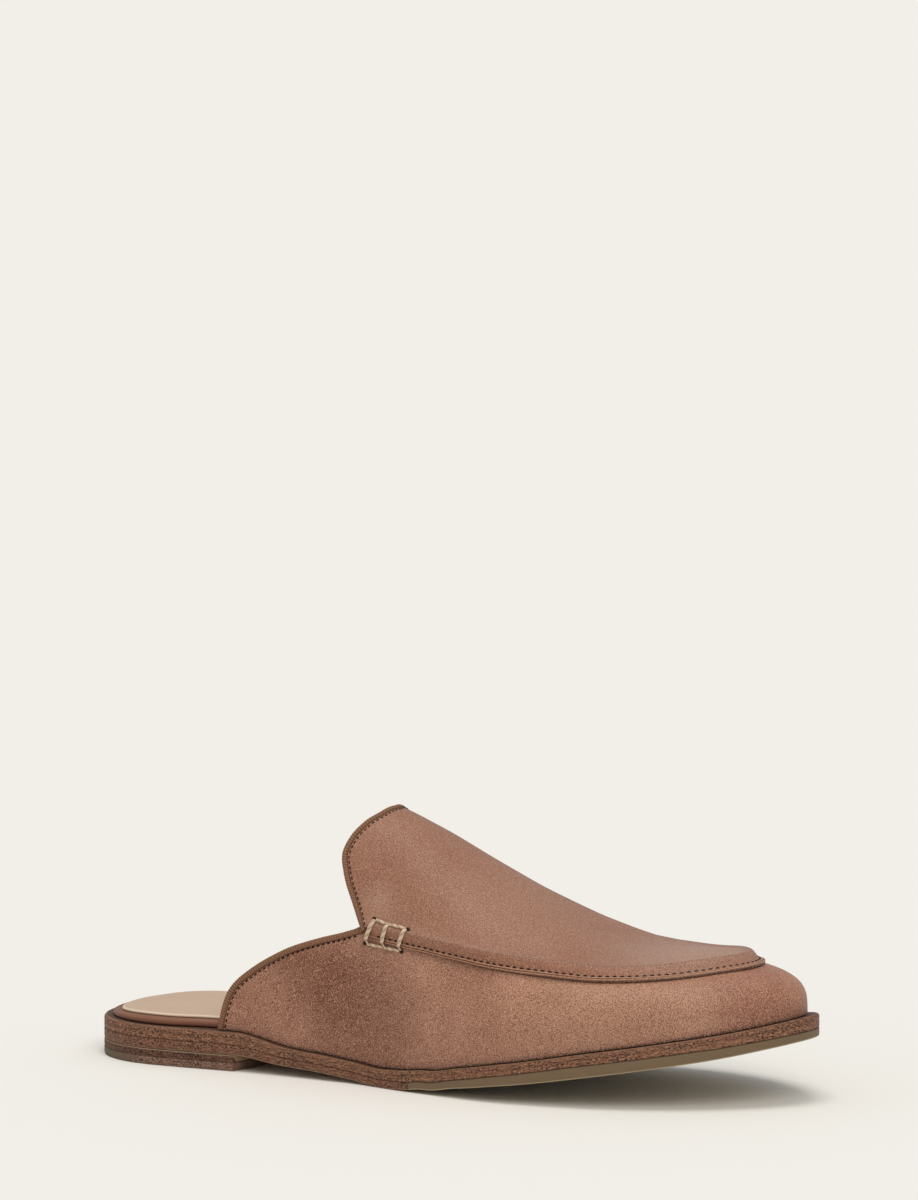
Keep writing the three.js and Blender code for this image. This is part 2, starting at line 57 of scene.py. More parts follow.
# How far a dressed layer grows into the gap above or below it, which leaves a hairline.
CLOSING = 0.12
BREAST = (62.0, 74.0)

# Plan of the sole: share of the length, share of the width from heel to ball, swing to the inner side.
PLAN = [
    (0.0, 0.0, 0.0), (0.13, 0.0, -0.002), (0.25, -0.1, -0.01), (0.4, 0.0, -0.024),
    (0.52, 0.53, -0.02), (0.66, 1.0, 0.0), (0.75, 0.97, 0.018), (0.88, 0.64, 0.036),
    (1.0, 0.0, 0.05),
]
# Underside of the outsole: share of the length, of the heel's height and of the toe spring.
UNDERSIDE = [
    (0.0, 1.0, 0.0), (0.235, 1.0, 0.0), (0.3, 0.66, 0.0), (0.36, 0.48, 0.0), (0.41, 0.25, 0.0),
    (0.465, 0.0, 0.0), (0.535, 0.0, 0.0), (0.58, 0.0, 0.08), (0.65, 0.0, 0.245), (0.75, 0.0, 0.45),
    (0.85, 0.0, 0.645), (0.92, 0.0, 0.79), (1.0, 0.0, 1.0),
]

# The plan's round ends: where each starts or stops, as a share of the length, and the powers of its curve,
# where 2 is an ellipse.
HEEL_ROUND, HEEL_POWER = 0.125, 2.2
TOE_START, TOE_ROUND, TOE_POWER, TOE_ROOT = 0.68, 0.32, 2.6, 2.05

# How much of CAMBER the sole's edges rise by; its middle half stays flat across.
CAMBER_ALONG = [(0.46, 0.0), (0.5, 0.35), (0.53, 0.95), (0.57, 1.0), (0.62, 0.6), (0.67, 0.15), (0.71, 0.0)]


def table_curve(rows, column):
    """A smooth curve through one column of a table that never overshoots its rows."""
    table = np.array(rows, float)
    xs, ys = table[:, 0], table[:, column]
    steps = np.diff(xs)
    slopes = np.diff(ys) / steps
    before = np.concatenate([slopes[:1], slopes])
    after = np.concatenate([slopes, slopes[-1:]])
    turning = before * after <= 0
    tangents = np.where(turning, 0, 2 * before * after / np.where(turning, 1, before + after))

    def at(value):
        x = np.clip(value, xs[0], xs[-1])
        i = np.clip(np.searchsorted(xs, x) - 1, 0, len(steps) - 1)
        t = (x - xs[i]) / steps[i]
        rise = steps[i] * (tangents[i] * t * (1 - t) ** 2 - tangents[i + 1] * t * t * (1 - t))
        return ys[i] * (1 + 2 * t) * (1 - t) ** 2 + ys[i + 1] * t * t * (3 - 2 * t) + rise

    return at


plan_width, plan_swing = table_curve(PLAN, 1), table_curve(PLAN, 2)
underside_heel, underside_toe = table_curve(UNDERSIDE, 1), table_curve(UNDERSIDE, 2)
camber_share = table_curve(CAMBER_ALONG, 1)


def underside(x):
    return underside_heel(x / LENGTH) * HEEL_HEIGHT + underside_toe(x / LENGTH) * TOE_SPRING


def middle(x):
    return plan_swing(x / LENGTH) * BALL_WIDTH


def half_width(x):
    along = np.clip(x / LENGTH, 0, 1)
    width = HEEL_WIDTH + plan_width(along) * (BALL_WIDTH - HEEL_WIDTH)
    heel = (1 - (1 - np.minimum(along / HEEL_ROUND, 1)) ** HEEL_POWER) ** (1 / HEEL_POWER)
    past = np.maximum((along - TOE_START) / TOE_ROUND, 0)
    toe = np.maximum(1 - past ** TOE_POWER, 0) ** (1 / TOE_ROOT)
    return 0.5 * width * heel * toe


def edge_lift(plan):
    """How far every layer of the sole is lifted at a place, by the sole's camber."""
    x, y = plan[..., 0], plan[..., 1]
    off = np.abs(y - middle(x)) / np.maximum(half_width(x), 1e-6)
    return camber_share(x / LENGTH) * CAMBER * np.clip(2 * off - 1, 0, 1)


def outline(side, turn):
    """The sole's outline. side: -1 outer, 1 inner. turn: 0 at the heel's back, 1 at the toe tip."""
    x = 0.5 * LENGTH * (1 - np.cos(np.pi * turn))
    beyond_end = np.where((turn < 0) | (turn > 1), -1.0, 1.0)
    return np.stack([x, middle(x) + side * beyond_end * half_width(x)], -1)


def inset_outline(side, turn, inset):
    step = 1e-4
    along = outline(side, turn + step) - outline(side, turn - step)
    along /= np.linalg.norm(along, axis=-1, keepdims=True)
    inward = np.stack([along[..., 1] * side, -along[..., 0] * side], -1)
    return outline(side, turn) + inward * np.asarray(inset)[..., None]


def turn_at(x):
    return math.acos(1 - 2 * x / LENGTH) / math.pi


edge_y = outline(1, np.linspace(0, 1, 4000))[:, 1], outline(-1, np.linspace(0, 1, 4000))[:, 1]
CENTRE = np.array([0.5 * LENGTH, 0.5 * (edge_y[0].max() + edge_y[1].min()), 0.0])
# Added to the run along the inner side, so that the two sides' grain differs.
OTHER_SIDE = 500.0
# Columns of faces across a layer's top and its underside.
COLUMNS = 8


def tube_faces(rings, sides):
    """Faces of a closed tube of rings of points, with a face over each end."""
    number = np.arange(rings * sides).reshape(rings, sides)
    beside = np.roll(number, -1, 1)
    faces = np.stack([number[:-1], number[1:], beside[1:], beside[:-1]], -1).reshape(-1, 4).tolist()
    return faces + [number[0].tolist(), number[-1][::-1].tolist()]


def sole_layer(ends, steps, profile, low, high, inset=None):
    """Rows across a layer from its back to its front, each a loop round the layer's section.
    ends: the outline's turns at the back and front, outer side and then inner side.
    profile: the edge from bottom to top, as inset in millimetres and height as a share of the layer.
    Gives the points, the faces and each point's place: its run along the edge, its height up the
    layer, running on over the top and underneath, and its depth below the layer's top."""
    (outer_back, outer_front), (inner_back, inner_front) = ends
    share = np.linspace(0, 1, steps + 1)
    near = outer_back + (outer_front - outer_back) * share
    slant = (inner_back - outer_back) * (1 - share) ** 4 + (inner_front - outer_front) * share ** 4
    far = near + slant
    cut = inset or (lambda turn: 0 * turn)
    run = np.cumsum(np.linalg.norm(np.diff(outline(-1, near), axis=0, prepend=0), axis=1))
    loop = []
    for deep, height in profile:
        loop.append((inset_outline(-1, near, cut(near) + deep), height, 0.0, 0.0))
    for (deep, height), order in ((profile[-1], range(1, COLUMNS)), (profile[0], range(COLUMNS - 1, 0, -1))):
        one = inset_outline(-1, near, cut(near) + deep)
        other = inset_outline(1, far, cut(far) + deep)
        if order.step < 0:
            for deep_up, height_up in profile[::-1]:
                loop.append((inset_outline(1, far, cut(far) + deep_up), height_up, OTHER_SIDE, 0.0))
        for column in order:
            across = np.linalg.norm(other - one, axis=-1) * min(column, COLUMNS - column) / COLUMNS
            beyond = 0.0 if 2 * column < COLUMNS else OTHER_SIDE
            loop.append((one + (other - one) * column / COLUMNS, height, beyond, across * order.step))
    points = np.zeros((steps + 1, len(loop), 3))
    place = np.zeros_like(points)
    for i, (plan, height, beyond, across) in enumerate(loop):
        floor, roof = low(plan[:, 0]), high(plan[:, 0])
        points[:, i, :2] = plan
        points[:, i, 2] = floor + (roof - floor) * height + edge_lift(plan)
        up = (roof - floor) * height + across
        place[:, i] = np.stack([run + beyond, up, roof - floor - up], -1)
    return points.reshape(-1, 3), tube_faces(*points.shape[:2]), place.reshape(-1, 3)


# In metres: points nearer than WELD are joined, and edges under NO_LENGTH are taken out.
WELD = 2e-6
NO_LENGTH = 1e-7


def make_piece(name, node, points, faces, place, materials, face_material=None, sharp=38):
    """A piece from points in millimetres: welded, closed, and smooth where faces meet under an angle.
    node: the solid that it replaces. place: where each point lies on it. sharp: the angle in degrees."""
    mesh = bpy.data.meshes.new(name)
    mesh.from_pydata(((np.asarray(points) - CENTRE) / 1000).tolist(), [], faces)
    kept = mesh.attributes.new("place", "FLOAT_VECTOR", "POINT")
    kept.data.foreach_set("vector", np.asarray(place, np.float32).ravel())
    if face_material:
        mesh.polygons.foreach_set("material_index", np.asarray(face_material, np.int32))
    work = bmesh.new()
    work.from_mesh(mesh)
    bmesh.ops.remove_doubles(work, verts=work.verts, dist=WELD)
    bmesh.ops.dissolve_degenerate(work, edges=work.edges, dist=NO_LENGTH)
    bmesh.ops.recalc_face_normals(work, faces=work.faces)
    for face in work.faces:
        face.smooth = True
    for edge in work.edges:
        edge.smooth = edge.calc_face_angle(0) < math.radians(sharp)
    work.to_mesh(mesh)
    work.free()
    piece = bpy.data.objects.new(name, mesh)
    bpy.context.scene.collection.objects.link(piece)
    for material in materials:
        mesh.materials.append(material)
    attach(piece, "root")
    if node:
        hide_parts(node)


def sole_piece(name, node, material, ends, steps, profile, low, high, inset=None, sharp=38):
    """A piece that is one layer of the sole, or of what lies flat on it."""
    points, faces, place = sole_layer(ends, steps, profile, low, high, inset)
    make_piece(name, node, points, faces, place, [material], sharp=sharp)


def colour(hex_code):
    """An sRGB hex code as the linear colour that Blender works in."""
    parts = [int(hex_code[i : i + 2], 16) / 255 for i in (1, 3, 5)]
    return (*(p / 12.92 if p <= 0.04045 else ((p + 0.055) / 1.055) ** 2.4 for p in parts), 1)


def add(material, kind, inputs=None, out=None, **settings):
    """Adds a shader node with its settings, and gives the output out, or else the first one in use.
    inputs: a number, a hex colour or another node's output for each. A Mix node mixes colours."""
    made = material.node_tree.nodes.new("ShaderNode" + kind)
    if kind == "Mix":
        made.data_type = "RGBA"
    for key, value in settings.items():
        setattr(made, key, value)
    for key, value in (inputs or {}).items():
        if isinstance(value, bpy.types.NodeSocket):
            material.node_tree.links.new(value, made.inputs[key])
        else:
            made.inputs[key].default_value = colour(value) if isinstance(value, str) else value
    return next((one for one in made.outputs if one.enabled), None) if out is None else made.outputs[out]


def new_material(name):
    material = bpy.data.materials.new(name)
    material.use_nodes = True
    material.node_tree.nodes.clear()
    return material


def finish_material(material, base, roughness, bump, **plain):
    """The shader of a non-metal, with its uniform values set on its own sockets."""
    inputs = {"Base Color": base, "Roughness": roughness, "Normal": bump}
    inputs.update({key.replace("_", " "): value for key, value in plain.items()})
    shader = add(material, "BsdfPrincipled", inputs)
    add(material, "OutputMaterial", {"Surface": shader})
    return material


def toned_along(material, base, measure, stops):
    """Tints a colour along a measure in millimetres. stops: the millimetre, the tint, its strength."""
    low, high = stops[0][0], stops[-1][0]
    share = add(material, "MapRange", {"Value": measure, "From Min": low, "From Max": high})
    ramp = add(material, "ValToRGB", {0: share}).node
    elements = ramp.color_ramp.elements
    for millimetre, tint, strength in stops[1:-1]:
        between = elements.new((millimetre - low) / (high - low))
        between.color = (*colour(tint)[:3], strength)
    elements[0].color = (*colour(stops[0][1])[:3], stops[0][2])
    elements[-1].color = (*colour(stops[-1][1])[:3], stops[-1][2])
    tints = {0: ramp.outputs["Alpha"], 6: base, 7: ramp.outputs["Color"]}
    return add(material, "Mix", tints)


def edge_noise(material, where, along, up, detail=2.0, roughness=0.5):
    """Noise with so many grains to the millimetre along an edge and up it."""
    spot = add(material, "VectorMath", {0: where, 1: (along, up, 0)}, operation="MULTIPLY")
    return add(material, "TexNoise", {"Vector": spot, "Scale": 1.0, "Detail": detail, "Roughness": roughness})


def burnished_edge(name, dark, mid, pale, top_light_and_shade, bottom_light_and_shade, pitting=0.5, base=None):
    """Sole leather, stained dark and burnished at its edge: the cut fibres show as pale flecks between dark
    pits.
    Tints down from its top and up from its bottom are painted highlights and painted shade along the corners.
    base: what it is worn into."""
    material = new_material(name)
    where = add(material, "Attribute", out="Vector", attribute_name="place")
    # Fibre bundles 2.5 mm long and 0.6 mm high, and pits 0.9 mm long and 0.5 mm high: coarser than the
    # real ones, so that they show. The stain took less in broad patches, 12 mm long.
    streak = edge_noise(material, where, 0.4, 1.6, detail=5.0, roughness=0.7)
    pit = edge_noise(material, where, 1.1, 1.9, roughness=0.7)
    patch = edge_noise(material, where, 0.08, 0.3)
    spread = add(material, "MapRange", {"Value": streak, "From Min": 0.38, "From Max": 0.64})
    stained = add(material, "Mix", {0: spread, 6: mid, 7: pale})
    pitted = add(material, "MapRange", {"Value": pit, "From Min": pitting, "From Max": pitting + 0.06})
    patchy = add(
        material, "MapRange",
        {"Value": patch, "From Min": 0.35, "From Max": 0.6, "To Min": 0.55, "To Max": 1.0},
    )
    share = add(material, "Math", {0: pitted, 1: patchy}, operation="MULTIPLY")
    speckled = add(material, "Mix", {0: share, 6: stained, 7: dark})
    parts = add(material, "SeparateXYZ", {0: where}).node.outputs
    # Painted highlights and painted shade along the corners, up from the bottom and then down from the top.
    worn = toned_along(material, speckled, parts[1], bottom_light_and_shade)
    worn = toned_along(material, worn, parts[2], top_light_and_shade)
    relief = add(material, "Math", {0: streak, 1: share}, operation="SUBTRACT")
    bump = add(material, "Bump", {"Strength": 0.5, "Distance": 0.00016, "Height": relief})
    rough = add(material, "MapRange", {"Value": pit, "To Min": 0.5, "To Max": 0.75})
    if base:
        # The moulded base shows bare at the heel's back and is worn and stained further forward.
        tint, start, end = base
        run = add(material, "Math", {0: parts[0], 1: OTHER_SIDE}, operation="MODULO")
        front = add(
            material, "MapRange", {"Value": run, "From Min": start, "From Max": end},
            interpolation_type="SMOOTHSTEP",
        )
        worn = add(material, "Mix", {0: front, 6: tint, 7: worn})
    return finish_material(material, worn, rough, bump, IOR=1.48, Specular_IOR_Level=0.3)


# Painted highlights along the top and bottom corners.
heel_rubber = burnished_edge(
    "worn olive heel rubber", "#2E1D15", "#735241", "#9A7866",
    [(0.0, "#8C7460", 0.5), (0.35, "#8C7460", 0.0)], [(0.0, "#A08A70", 0.6), (0.4, "#A08A70", 0.0)],
    base=("#665640", 30.0, 48.0),
)
# Painted highlights along the top and bottom corners, strongest at the top.
lift_edge = burnished_edge(
    "burnished lift leather", "#1F100A", "#573224", "#875D47",
    [(0.0, "#B69A7C", 0.75), (0.4, "#B69A7C", 0.0)], [(0.0, "#8B6C52", 0.3), (0.3, "#8B6C52", 0.0)],
    pitting=0.47,
)
heel_ends = ((0.0, turn_at(BREAST[0])), (0.0, turn_at(BREAST[1])))
HEEL_PROFILE = [
    (0.5, 0.0), (0.2, 0.06), (0.05, 0.16), (0.0, 0.3), (0.0, 0.6), (0.0, 0.85), (0.08, 0.95), (0.25, 1.0),
]
sole_piece(
    "heel_top_piece_rubber", "heel_top_piece", heel_rubber, heel_ends, steps=150,
    profile=HEEL_PROFILE, low=lambda x: 0 * x, high=lambda x: 0 * x + TOP_PIECE + CLOSING,
)
LIFT_PROFILE = [(0.22, 0.0), (0.05, 0.07), (0.0, 0.2), (0.0, 0.5), (0.0, 0.8), (0.05, 0.93), (0.22, 1.0)]
sole_piece(
    "heel_lift_leather", "heel_lift", lift_edge, heel_ends, steps=150,
    profile=LIFT_PROFILE, low=lambda x: 0 * x + TOP_PIECE + GAP - CLOSING,
    high=lambda x: underside(x) - GAP + CLOSING,
)

# The outsole
# Leather from the heel's back to the ball, and a sheet of olive-brown rubber from the ball to the toe,
# skived to meet on a slant across the sole and cemented to the midsole.
OUTSOLE = 3.5
MIDSOLE = 4.0
RUBBER_START = (134.0, 139.0)
# Layers: share of the length, of the outsole's thickness and of the midsole's.
LAYERS = [
    (0.0, 1.0, 0.97), (0.23, 0.98, 0.97), (0.34, 0.76, 0.74), (0.42, 0.76, 0.74), (0.52, 0.74, 0.9),
    (0.66, 1.0, 0.88), (0.76, 1.16, 0.9), (0.88, 1.08, 0.98), (1.0, 0.82, 1.16),
]
outsole_share, midsole_share = table_curve(LAYERS, 1), table_curve(LAYERS, 2)


def outsole_top(x):
    return underside(x) + outsole_share(x / LENGTH) * OUTSOLE


def moulded_rubber():
    """Olive-brown sole rubber, moulded and sanded at its edge: matt, with fine level scratches, a painted
    highlight along the bottom corner and painted shade along the top, under the midsole."""
    material = new_material("moulded olive rubber")
    where = add(material, "Attribute", out="Vector", attribute_name="place")
    # Sanding marks 6 mm long and 0.25 mm high, coarser than real grit so that they show.
    scratch = edge_noise(material, where, 0.17, 4.0, detail=4.0)
    spot = add(material, "TexCoord", out="Object")
    cloud = add(material, "TexNoise", {"Vector": spot, "Scale": 60.0, "Detail": 3.0})
    tone = add(material, "Mix", {0: scratch, 6: "#655036", 7: "#877053"})
    dulled = add(material, "Mix", {0: cloud, 6: tone, 7: "#6D5840"})
    parts = add(material, "SeparateXYZ", {0: where}).node.outputs
    # A painted highlight along the bottom corner, then painted shade along the top, under the midsole.
    lined = toned_along(
        material, dulled, parts[1],
        [(0.0, "#B7A685", 0.7), (0.3, "#B7A685", 0.65), (0.5, "#8A7757", 0.0)],
    )
    shaded = toned_along(material, lined, parts[2], [(0.0, "#33271A", 0.8), (0.5, "#33271A", 0.0)])
    bump = add(material, "Bump", {"Strength": 0.3, "Distance": 0.00006, "Height": scratch})
    rough = add(material, "MapRange", {"Value": scratch, "To Min": 0.5, "To Max": 0.66})
    return finish_material(material, shaded, rough, bump, IOR=1.5, Specular_IOR_Level=0.35)


olive_rubber = moulded_rubber()
# Painted shade along the top, under the midsole, and a painted highlight along the bottom corner.
sole_edge = burnished_edge(
    "burnished sole leather", "#25140C", "#6B4130", "#9C7055",
    [(0.0, "#2C1D14", 0.5), (0.3, "#2C1D14", 0.0)], [(0.0, "#B4977A", 0.8), (0.45, "#B4977A", 0.0)],
)
rear_ends = ((0.0, turn_at(RUBBER_START[0])), (0.0, turn_at(RUBBER_START[1])))
front_ends = ((turn_at(RUBBER_START[0] + GAP), 1.0), (turn_at(RUBBER_START[1] + GAP), 1.0))
SOLE_PROFILE = [
    (0.55, 0.0), (0.2, 0.05), (0.04, 0.14), (0.0, 0.3), (0.0, 0.55), (0.0, 0.8), (0.06, 0.93), (0.3, 1.0),
]
for name, node, slot, material, ends in (
    ("rear_outsole_leather", "rear_outsole", "sole_leather", sole_edge, rear_ends),
    ("forefoot_outsole_rubber", "forefoot_outsole", "sole_rubber", olive_rubber, front_ends),
):
    sole_piece(
        name, node, material, ends, steps=260, profile=SOLE_PROFILE, low=underside,
        high=lambda x: outsole_top(x) + CLOSING,
    )

# The midsole
# One thickness of sole leather, full length, cemented under the lasted upper, with a ledge round it.
# Its edge is trimmed, stained, grooved by the edge iron along its middle and burnished.
whole_outline = ((0.0, 1.0), (0.0, 1.0))


def midsole_top(x):
    return outsole_top(x) + GAP + midsole_share(x / LENGTH) * MIDSOLE


MIDSOLE_PROFILE = [
    (0.2, 0.0), (0.03, 0.06), (0.0, 0.14), (0.0, 0.4), (0.02, 0.48), (0.16, 0.53), (0.16, 0.56),
    (0.03, 0.61), (0.0, 0.68), (0.03, 0.78), (0.14, 0.87), (0.4, 0.95), (0.85, 1.0),
]
# Painted shade on the ledge's top and top corner, a thin painted highlight on that corner, a darker groove,
# and painted shade along the bottom where it meets the outsole.
welt_edge = burnished_edge(
    "burnished welt leather", "#28160D", "#704531", "#AE7F60",
    [
        (-3.4, "#4A3224", 0.8), (-0.5, "#4A3224", 0.8), (-0.1, "#5A3E2C", 0.65), (0.0, "#B08A6A", 0.5),
        (0.14, "#6B4732", 0.55), (0.45, "#5E402D", 0.5), (0.9, "#5E402D", 0.0), (1.3, "#28180F", 0.2),
        (2.1, "#28180F", 0.15), (2.7, "#28180F", 0.0),
    ],
    [(0.0, "#33221A", 0.35), (0.4, "#33221A", 0.0)],
)
sole_piece(
    "midsole_leather", "midsole", welt_edge, whole_outline, steps=420,
    profile=MIDSOLE_PROFILE, low=lambda x: outsole_top(x) + GAP - CLOSING, high=midsole_top, sharp=50,
)

# The insole
# A fibre board wrapped in smooth pinkish-brown calf that is turned under its edge, laid in the seat.
# It shows round the heel behind the quarters and lies inside the upper's wall ahead of them.
LEDGE = 3.0
TOE_LEDGE = 1.4
INSOLE = 2.4
INSOLE_INSET = 3.0
UPPER_WALL = 1.8
BINDING_LAP = 0.5
QUARTER_END = 0.307
# Thickness of the insole: share of the length, share of INSOLE. It is skived thin at the heel's back.
SEAT = [(0.0, 0.5), (0.03, 0.55), (0.06, 0.8), (0.1, 0.97), (0.14, 1.0), (1.0, 1.0)]
seat_share = table_curve(SEAT, 1)


def smooth_step(value, low, high):
    share = np.clip((value - low) / (high - low), 0, 1)
    return share * share * (3 - 2 * share)


def ledge_at(turn):
    """Width of the midsole's ledge round the upper, wider at the toe."""
    return LEDGE + TOE_LEDGE * smooth_step(turn, 0.86, 0.98)


def insole_inset(turn):
    inside = ledge_at(turn) + UPPER_WALL + BINDING_LAP + GAP
    share = smooth_step(turn, 0.76 * QUARTER_END, 0.94 * QUARTER_END)
    return INSOLE_INSET + (inside - INSOLE_INSET) * share


def insole_top(x):
    return midsole_top(x) + GAP + seat_share(x / LENGTH) * INSOLE


def smooth_calf(name, light, shade, grain_mm, rough_low, rough_high, edge_stops):
    """Thin dressed calf: an even colour with faint clouding, a fine pore grain and a low, soft shine.
    edge_stops: tints by the height up the piece's edge and on over its top: painted shade and painted
    highlights."""
    material = new_material(name)
    spot = add(material, "TexCoord", out="Object")
    cloud = add(material, "TexNoise", {"Vector": spot, "Scale": 55.0, "Detail": 4.0, "Roughness": 0.6})
    tone = add(material, "Mix", {0: cloud, 6: shade, 7: light})
    where = add(material, "Attribute", out="Vector", attribute_name="place")
    height = add(material, "SeparateXYZ", {0: where}, out=1)
    edge_light_and_shade = toned_along(material, tone, height, edge_stops)
    pores = add(material, "TexVoronoi", {"Vector": spot, "Scale": 1000 / grain_mm}, feature="SMOOTH_F1")
    bump = add(material, "Bump", {"Strength": 0.4, "Distance": 0.00006, "Height": pores})
    rough = add(material, "MapRange", {"Value": cloud, "To Min": rough_low, "To Max": rough_high})
    return finish_material(material, edge_light_and_shade, rough, bump, IOR=1.46, Specular_IOR_Level=0.35)


insole_calf = smooth_calf(
    "wrapped insole calf", "#895A43", "#6E432F", 0.7, 0.45, 0.6,
    # Painted shade low on the edge, where it sits on the midsole, and a faint painted highlight over the top
    # corner.
    [
        (0.0, "#2E1C14", 0.9), (0.25, "#2E1C14", 0.6), (0.9, "#6A4534", 0.2), (2.0, "#9E735D", 0.2),
        (3.2, "#9E735D", 0.0),
    ],
)
INSOLE_PROFILE = [
    (0.5, 0.0), (0.2, 0.06), (0.04, 0.18), (0.0, 0.35), (0.02, 0.55), (0.1, 0.7), (0.3, 0.83),
    (0.6, 0.93), (1.1, 1.0),
]
sole_piece(
    "insole_wrapped", "insole", insole_calf, whole_outline, steps=300,
    profile=INSOLE_PROFILE, low=lambda x: midsole_top(x) + GAP - CLOSING, high=insole_top,
    inset=insole_inset, sharp=60,
)

# The sock lining
# A full-length lining of undyed sheepskin, cut 3 mm inside the insole's edge and glued on it.
# It is plain: nothing is stamped on it.
SOCK = 0.7
SOCK_INSET = 3.2
sock_calf = smooth_calf(
    "undyed sock leather", "#C9AE96", "#BCA088", 0.6, 0.6, 0.75,
    # Painted shade low on the edge, where it lies on the insole, and a painted highlight over the rounded top
    # corner.
    [
        (0.0, "#6E5442", 0.8), (0.2, "#C4AA92", 0.3), (0.5, "#E6D4BE", 0.7), (1.0, "#E6D4BE", 0.5),
        (1.7, "#C4AA92", 0.0),
    ],
)
SOCK_PROFILE = [(0.0, 0.0), (0.0, 0.45), (0.08, 0.7), (0.25, 0.9), (0.5, 1.0)]
sole_piece(
    "sock_lining_leather", "sock_lining", sock_calf, whole_outline, steps=260,
    profile=SOCK_PROFILE, low=lambda x: insole_top(x) + GAP - CLOSING,
    high=lambda x: insole_top(x) + GAP + SOCK, inset=lambda turn: insole_inset(turn) + SOCK_INSET, sharp=60,
)

# The upper
# Vamp and quarters of waxed calf, lined with thin undyed leather, pulled over the last and cemented to
# the midsole. It is open at the back and underneath, and its leather keeps soft creases at the flex.
INSTEP_HEIGHT = 85.0
FAN_START = 0.57
FAN_CENTRE = 0.81
BULGE = 3.0
JUNCTION_UP = 0.36
# Crest of the last: share of the length, share of the instep's height.
CREST = [
    (0.18, 1.12), (0.3, 1.115), (0.4, 1.045), (0.463, 0.967), (0.53, 0.86), (0.6, 0.75),
    (0.67, 0.642), (0.735, 0.564), (0.78, 0.545), (0.82, 0.558),
]
# Ribs of the last: share of the length, how boxy they are inward and upward, share of the bulge.
RIBS = [
    (0.18, 2.3, 2.3, 0.67), (0.42, 2.2, 2.2, 0.67), (0.6, 2.25, 2.2, 0.83), (0.75, 2.45, 2.8, 1.0),
    (0.87, 2.35, 3.7, 0.5), (0.95, 2.05, 4.1, 0.0), (1.0, 1.85, 4.2, -0.4),
]
# Rims of the quarter and the tongue: share of the way up a rib, turn.
QUARTER_RIM = [
    (0.0, 0.307), (0.07, 0.317), (0.14, 0.342), (0.21, 0.374), (0.27, 0.41), (0.31, 0.433),
    (0.36, 0.455),
]
TONGUE_RIM = [
    (0.33, 0.459), (0.36, 0.455), (0.42, 0.446), (0.53, 0.431), (0.6, 0.426), (0.67, 0.4285),
    (0.76, 0.4345), (0.88, 0.442), (1.0, 0.4445),
]
crest_share = table_curve(CREST, 1)
rib_in, rib_up, rib_bulge = (table_curve(RIBS, column) for column in (1, 2, 3))
quarter_rim, tongue_rim = table_curve(QUARTER_RIM, 1), table_curve(TONGUE_RIM, 1)


def last_point(side, turn, up):
    """A point of the last's surface, up a rib from the feather line (0) to the crest (1)."""
    foot = inset_outline(side, turn, ledge_at(turn))
    along = foot[..., 0] / LENGTH
    front = (1 - FAN_START) * LENGTH - LEDGE - TOE_LEDGE
    turned = (foot[..., 0] - FAN_START * LENGTH) / front
    fan = (FAN_CENTRE - FAN_START) * LENGTH
    fanned = FAN_CENTRE * LENGTH - fan * (1 - np.clip(turned, 0, 1)) ** (front / fan)
    crest_x = np.where(turned > 0, fanned, foot[..., 0])
    crest = np.stack([crest_x, middle(crest_x)], -1)
    reach = foot - crest
    angle = 0.5 * np.pi * up
    out = np.maximum(np.cos(angle), 0) ** (2 / rib_in(along))
    rise = np.sin(angle) ** (2 / rib_up(along))
    bulge = rib_bulge(along) * BULGE * np.sin(2 * angle) * np.cos(angle)
    plan = crest + reach * (out + bulge / np.linalg.norm(reach, axis=-1))[..., None]
    low = midsole_top(foot[..., 0]) + GAP + edge_lift(foot)
    height = low + (crest_share(crest_x / LENGTH) * INSTEP_HEIGHT - low) * rise
    return np.concatenate([plan, height[..., None]], -1)


def sheet_normals(points):
    """Outward directions over a grid of both sides whose last row folds on itself at the toe."""
    across = np.cross(points[1:, 1:] - points[:-1, :-1], points[:-1, 1:] - points[1:, :-1])
    normals = np.zeros_like(points)
    for rows, columns in (
        (slice(0, -1), slice(0, -1)),
        (slice(1, None), slice(0, -1)),
        (slice(0, -1), slice(1, None)),
        (slice(1, None), slice(1, None)),
    ):
        normals[rows, columns] += across
    normals[-1] += normals[-1][::-1].copy()
    return normals / np.linalg.norm(normals, axis=-1, keepdims=True)


def shell(outer, inner):
    """Faces of a closed shell between two grids, and which of them lie on the inner one."""
    rows, columns = outer.shape[:2]
    number = np.arange(rows * columns).reshape(rows, columns)
    quads = np.stack([number[:-1, :-1], number[1:, :-1], number[1:, 1:], number[:-1, 1:]], -1).reshape(-1, 4)
    count = rows * columns
    border = [*number[0], *number[1:, -1]]
    back = [*number[::-1, 0]]
    walls = []
    for path in (border, back):
        for one, other in zip(path, path[1:]):
            walls.append([one, other, other + count, one + count])
    faces = quads.tolist() + (quads[:, ::-1] + count).tolist() + np.array(walls).tolist()
    lining = [0] * len(quads) + [1] * len(quads) + [0] * len(walls)
    return np.concatenate([outer.reshape(-1, 3), inner.reshape(-1, 3)]), faces, lining


def line_distance(points, line):
    """Distance from each point to a line of points."""
    nearest = np.full(points.shape[:-1], 1e9)
    for start, end in zip(line[:-1], line[1:]):
        reach = end - start
        share = np.clip(((points - start) @ reach) / (reach @ reach), 0, 1)
        gap = np.linalg.norm(points - start - share[..., None] * reach, axis=-1)
        nearest = np.minimum(nearest, gap)
    return nearest


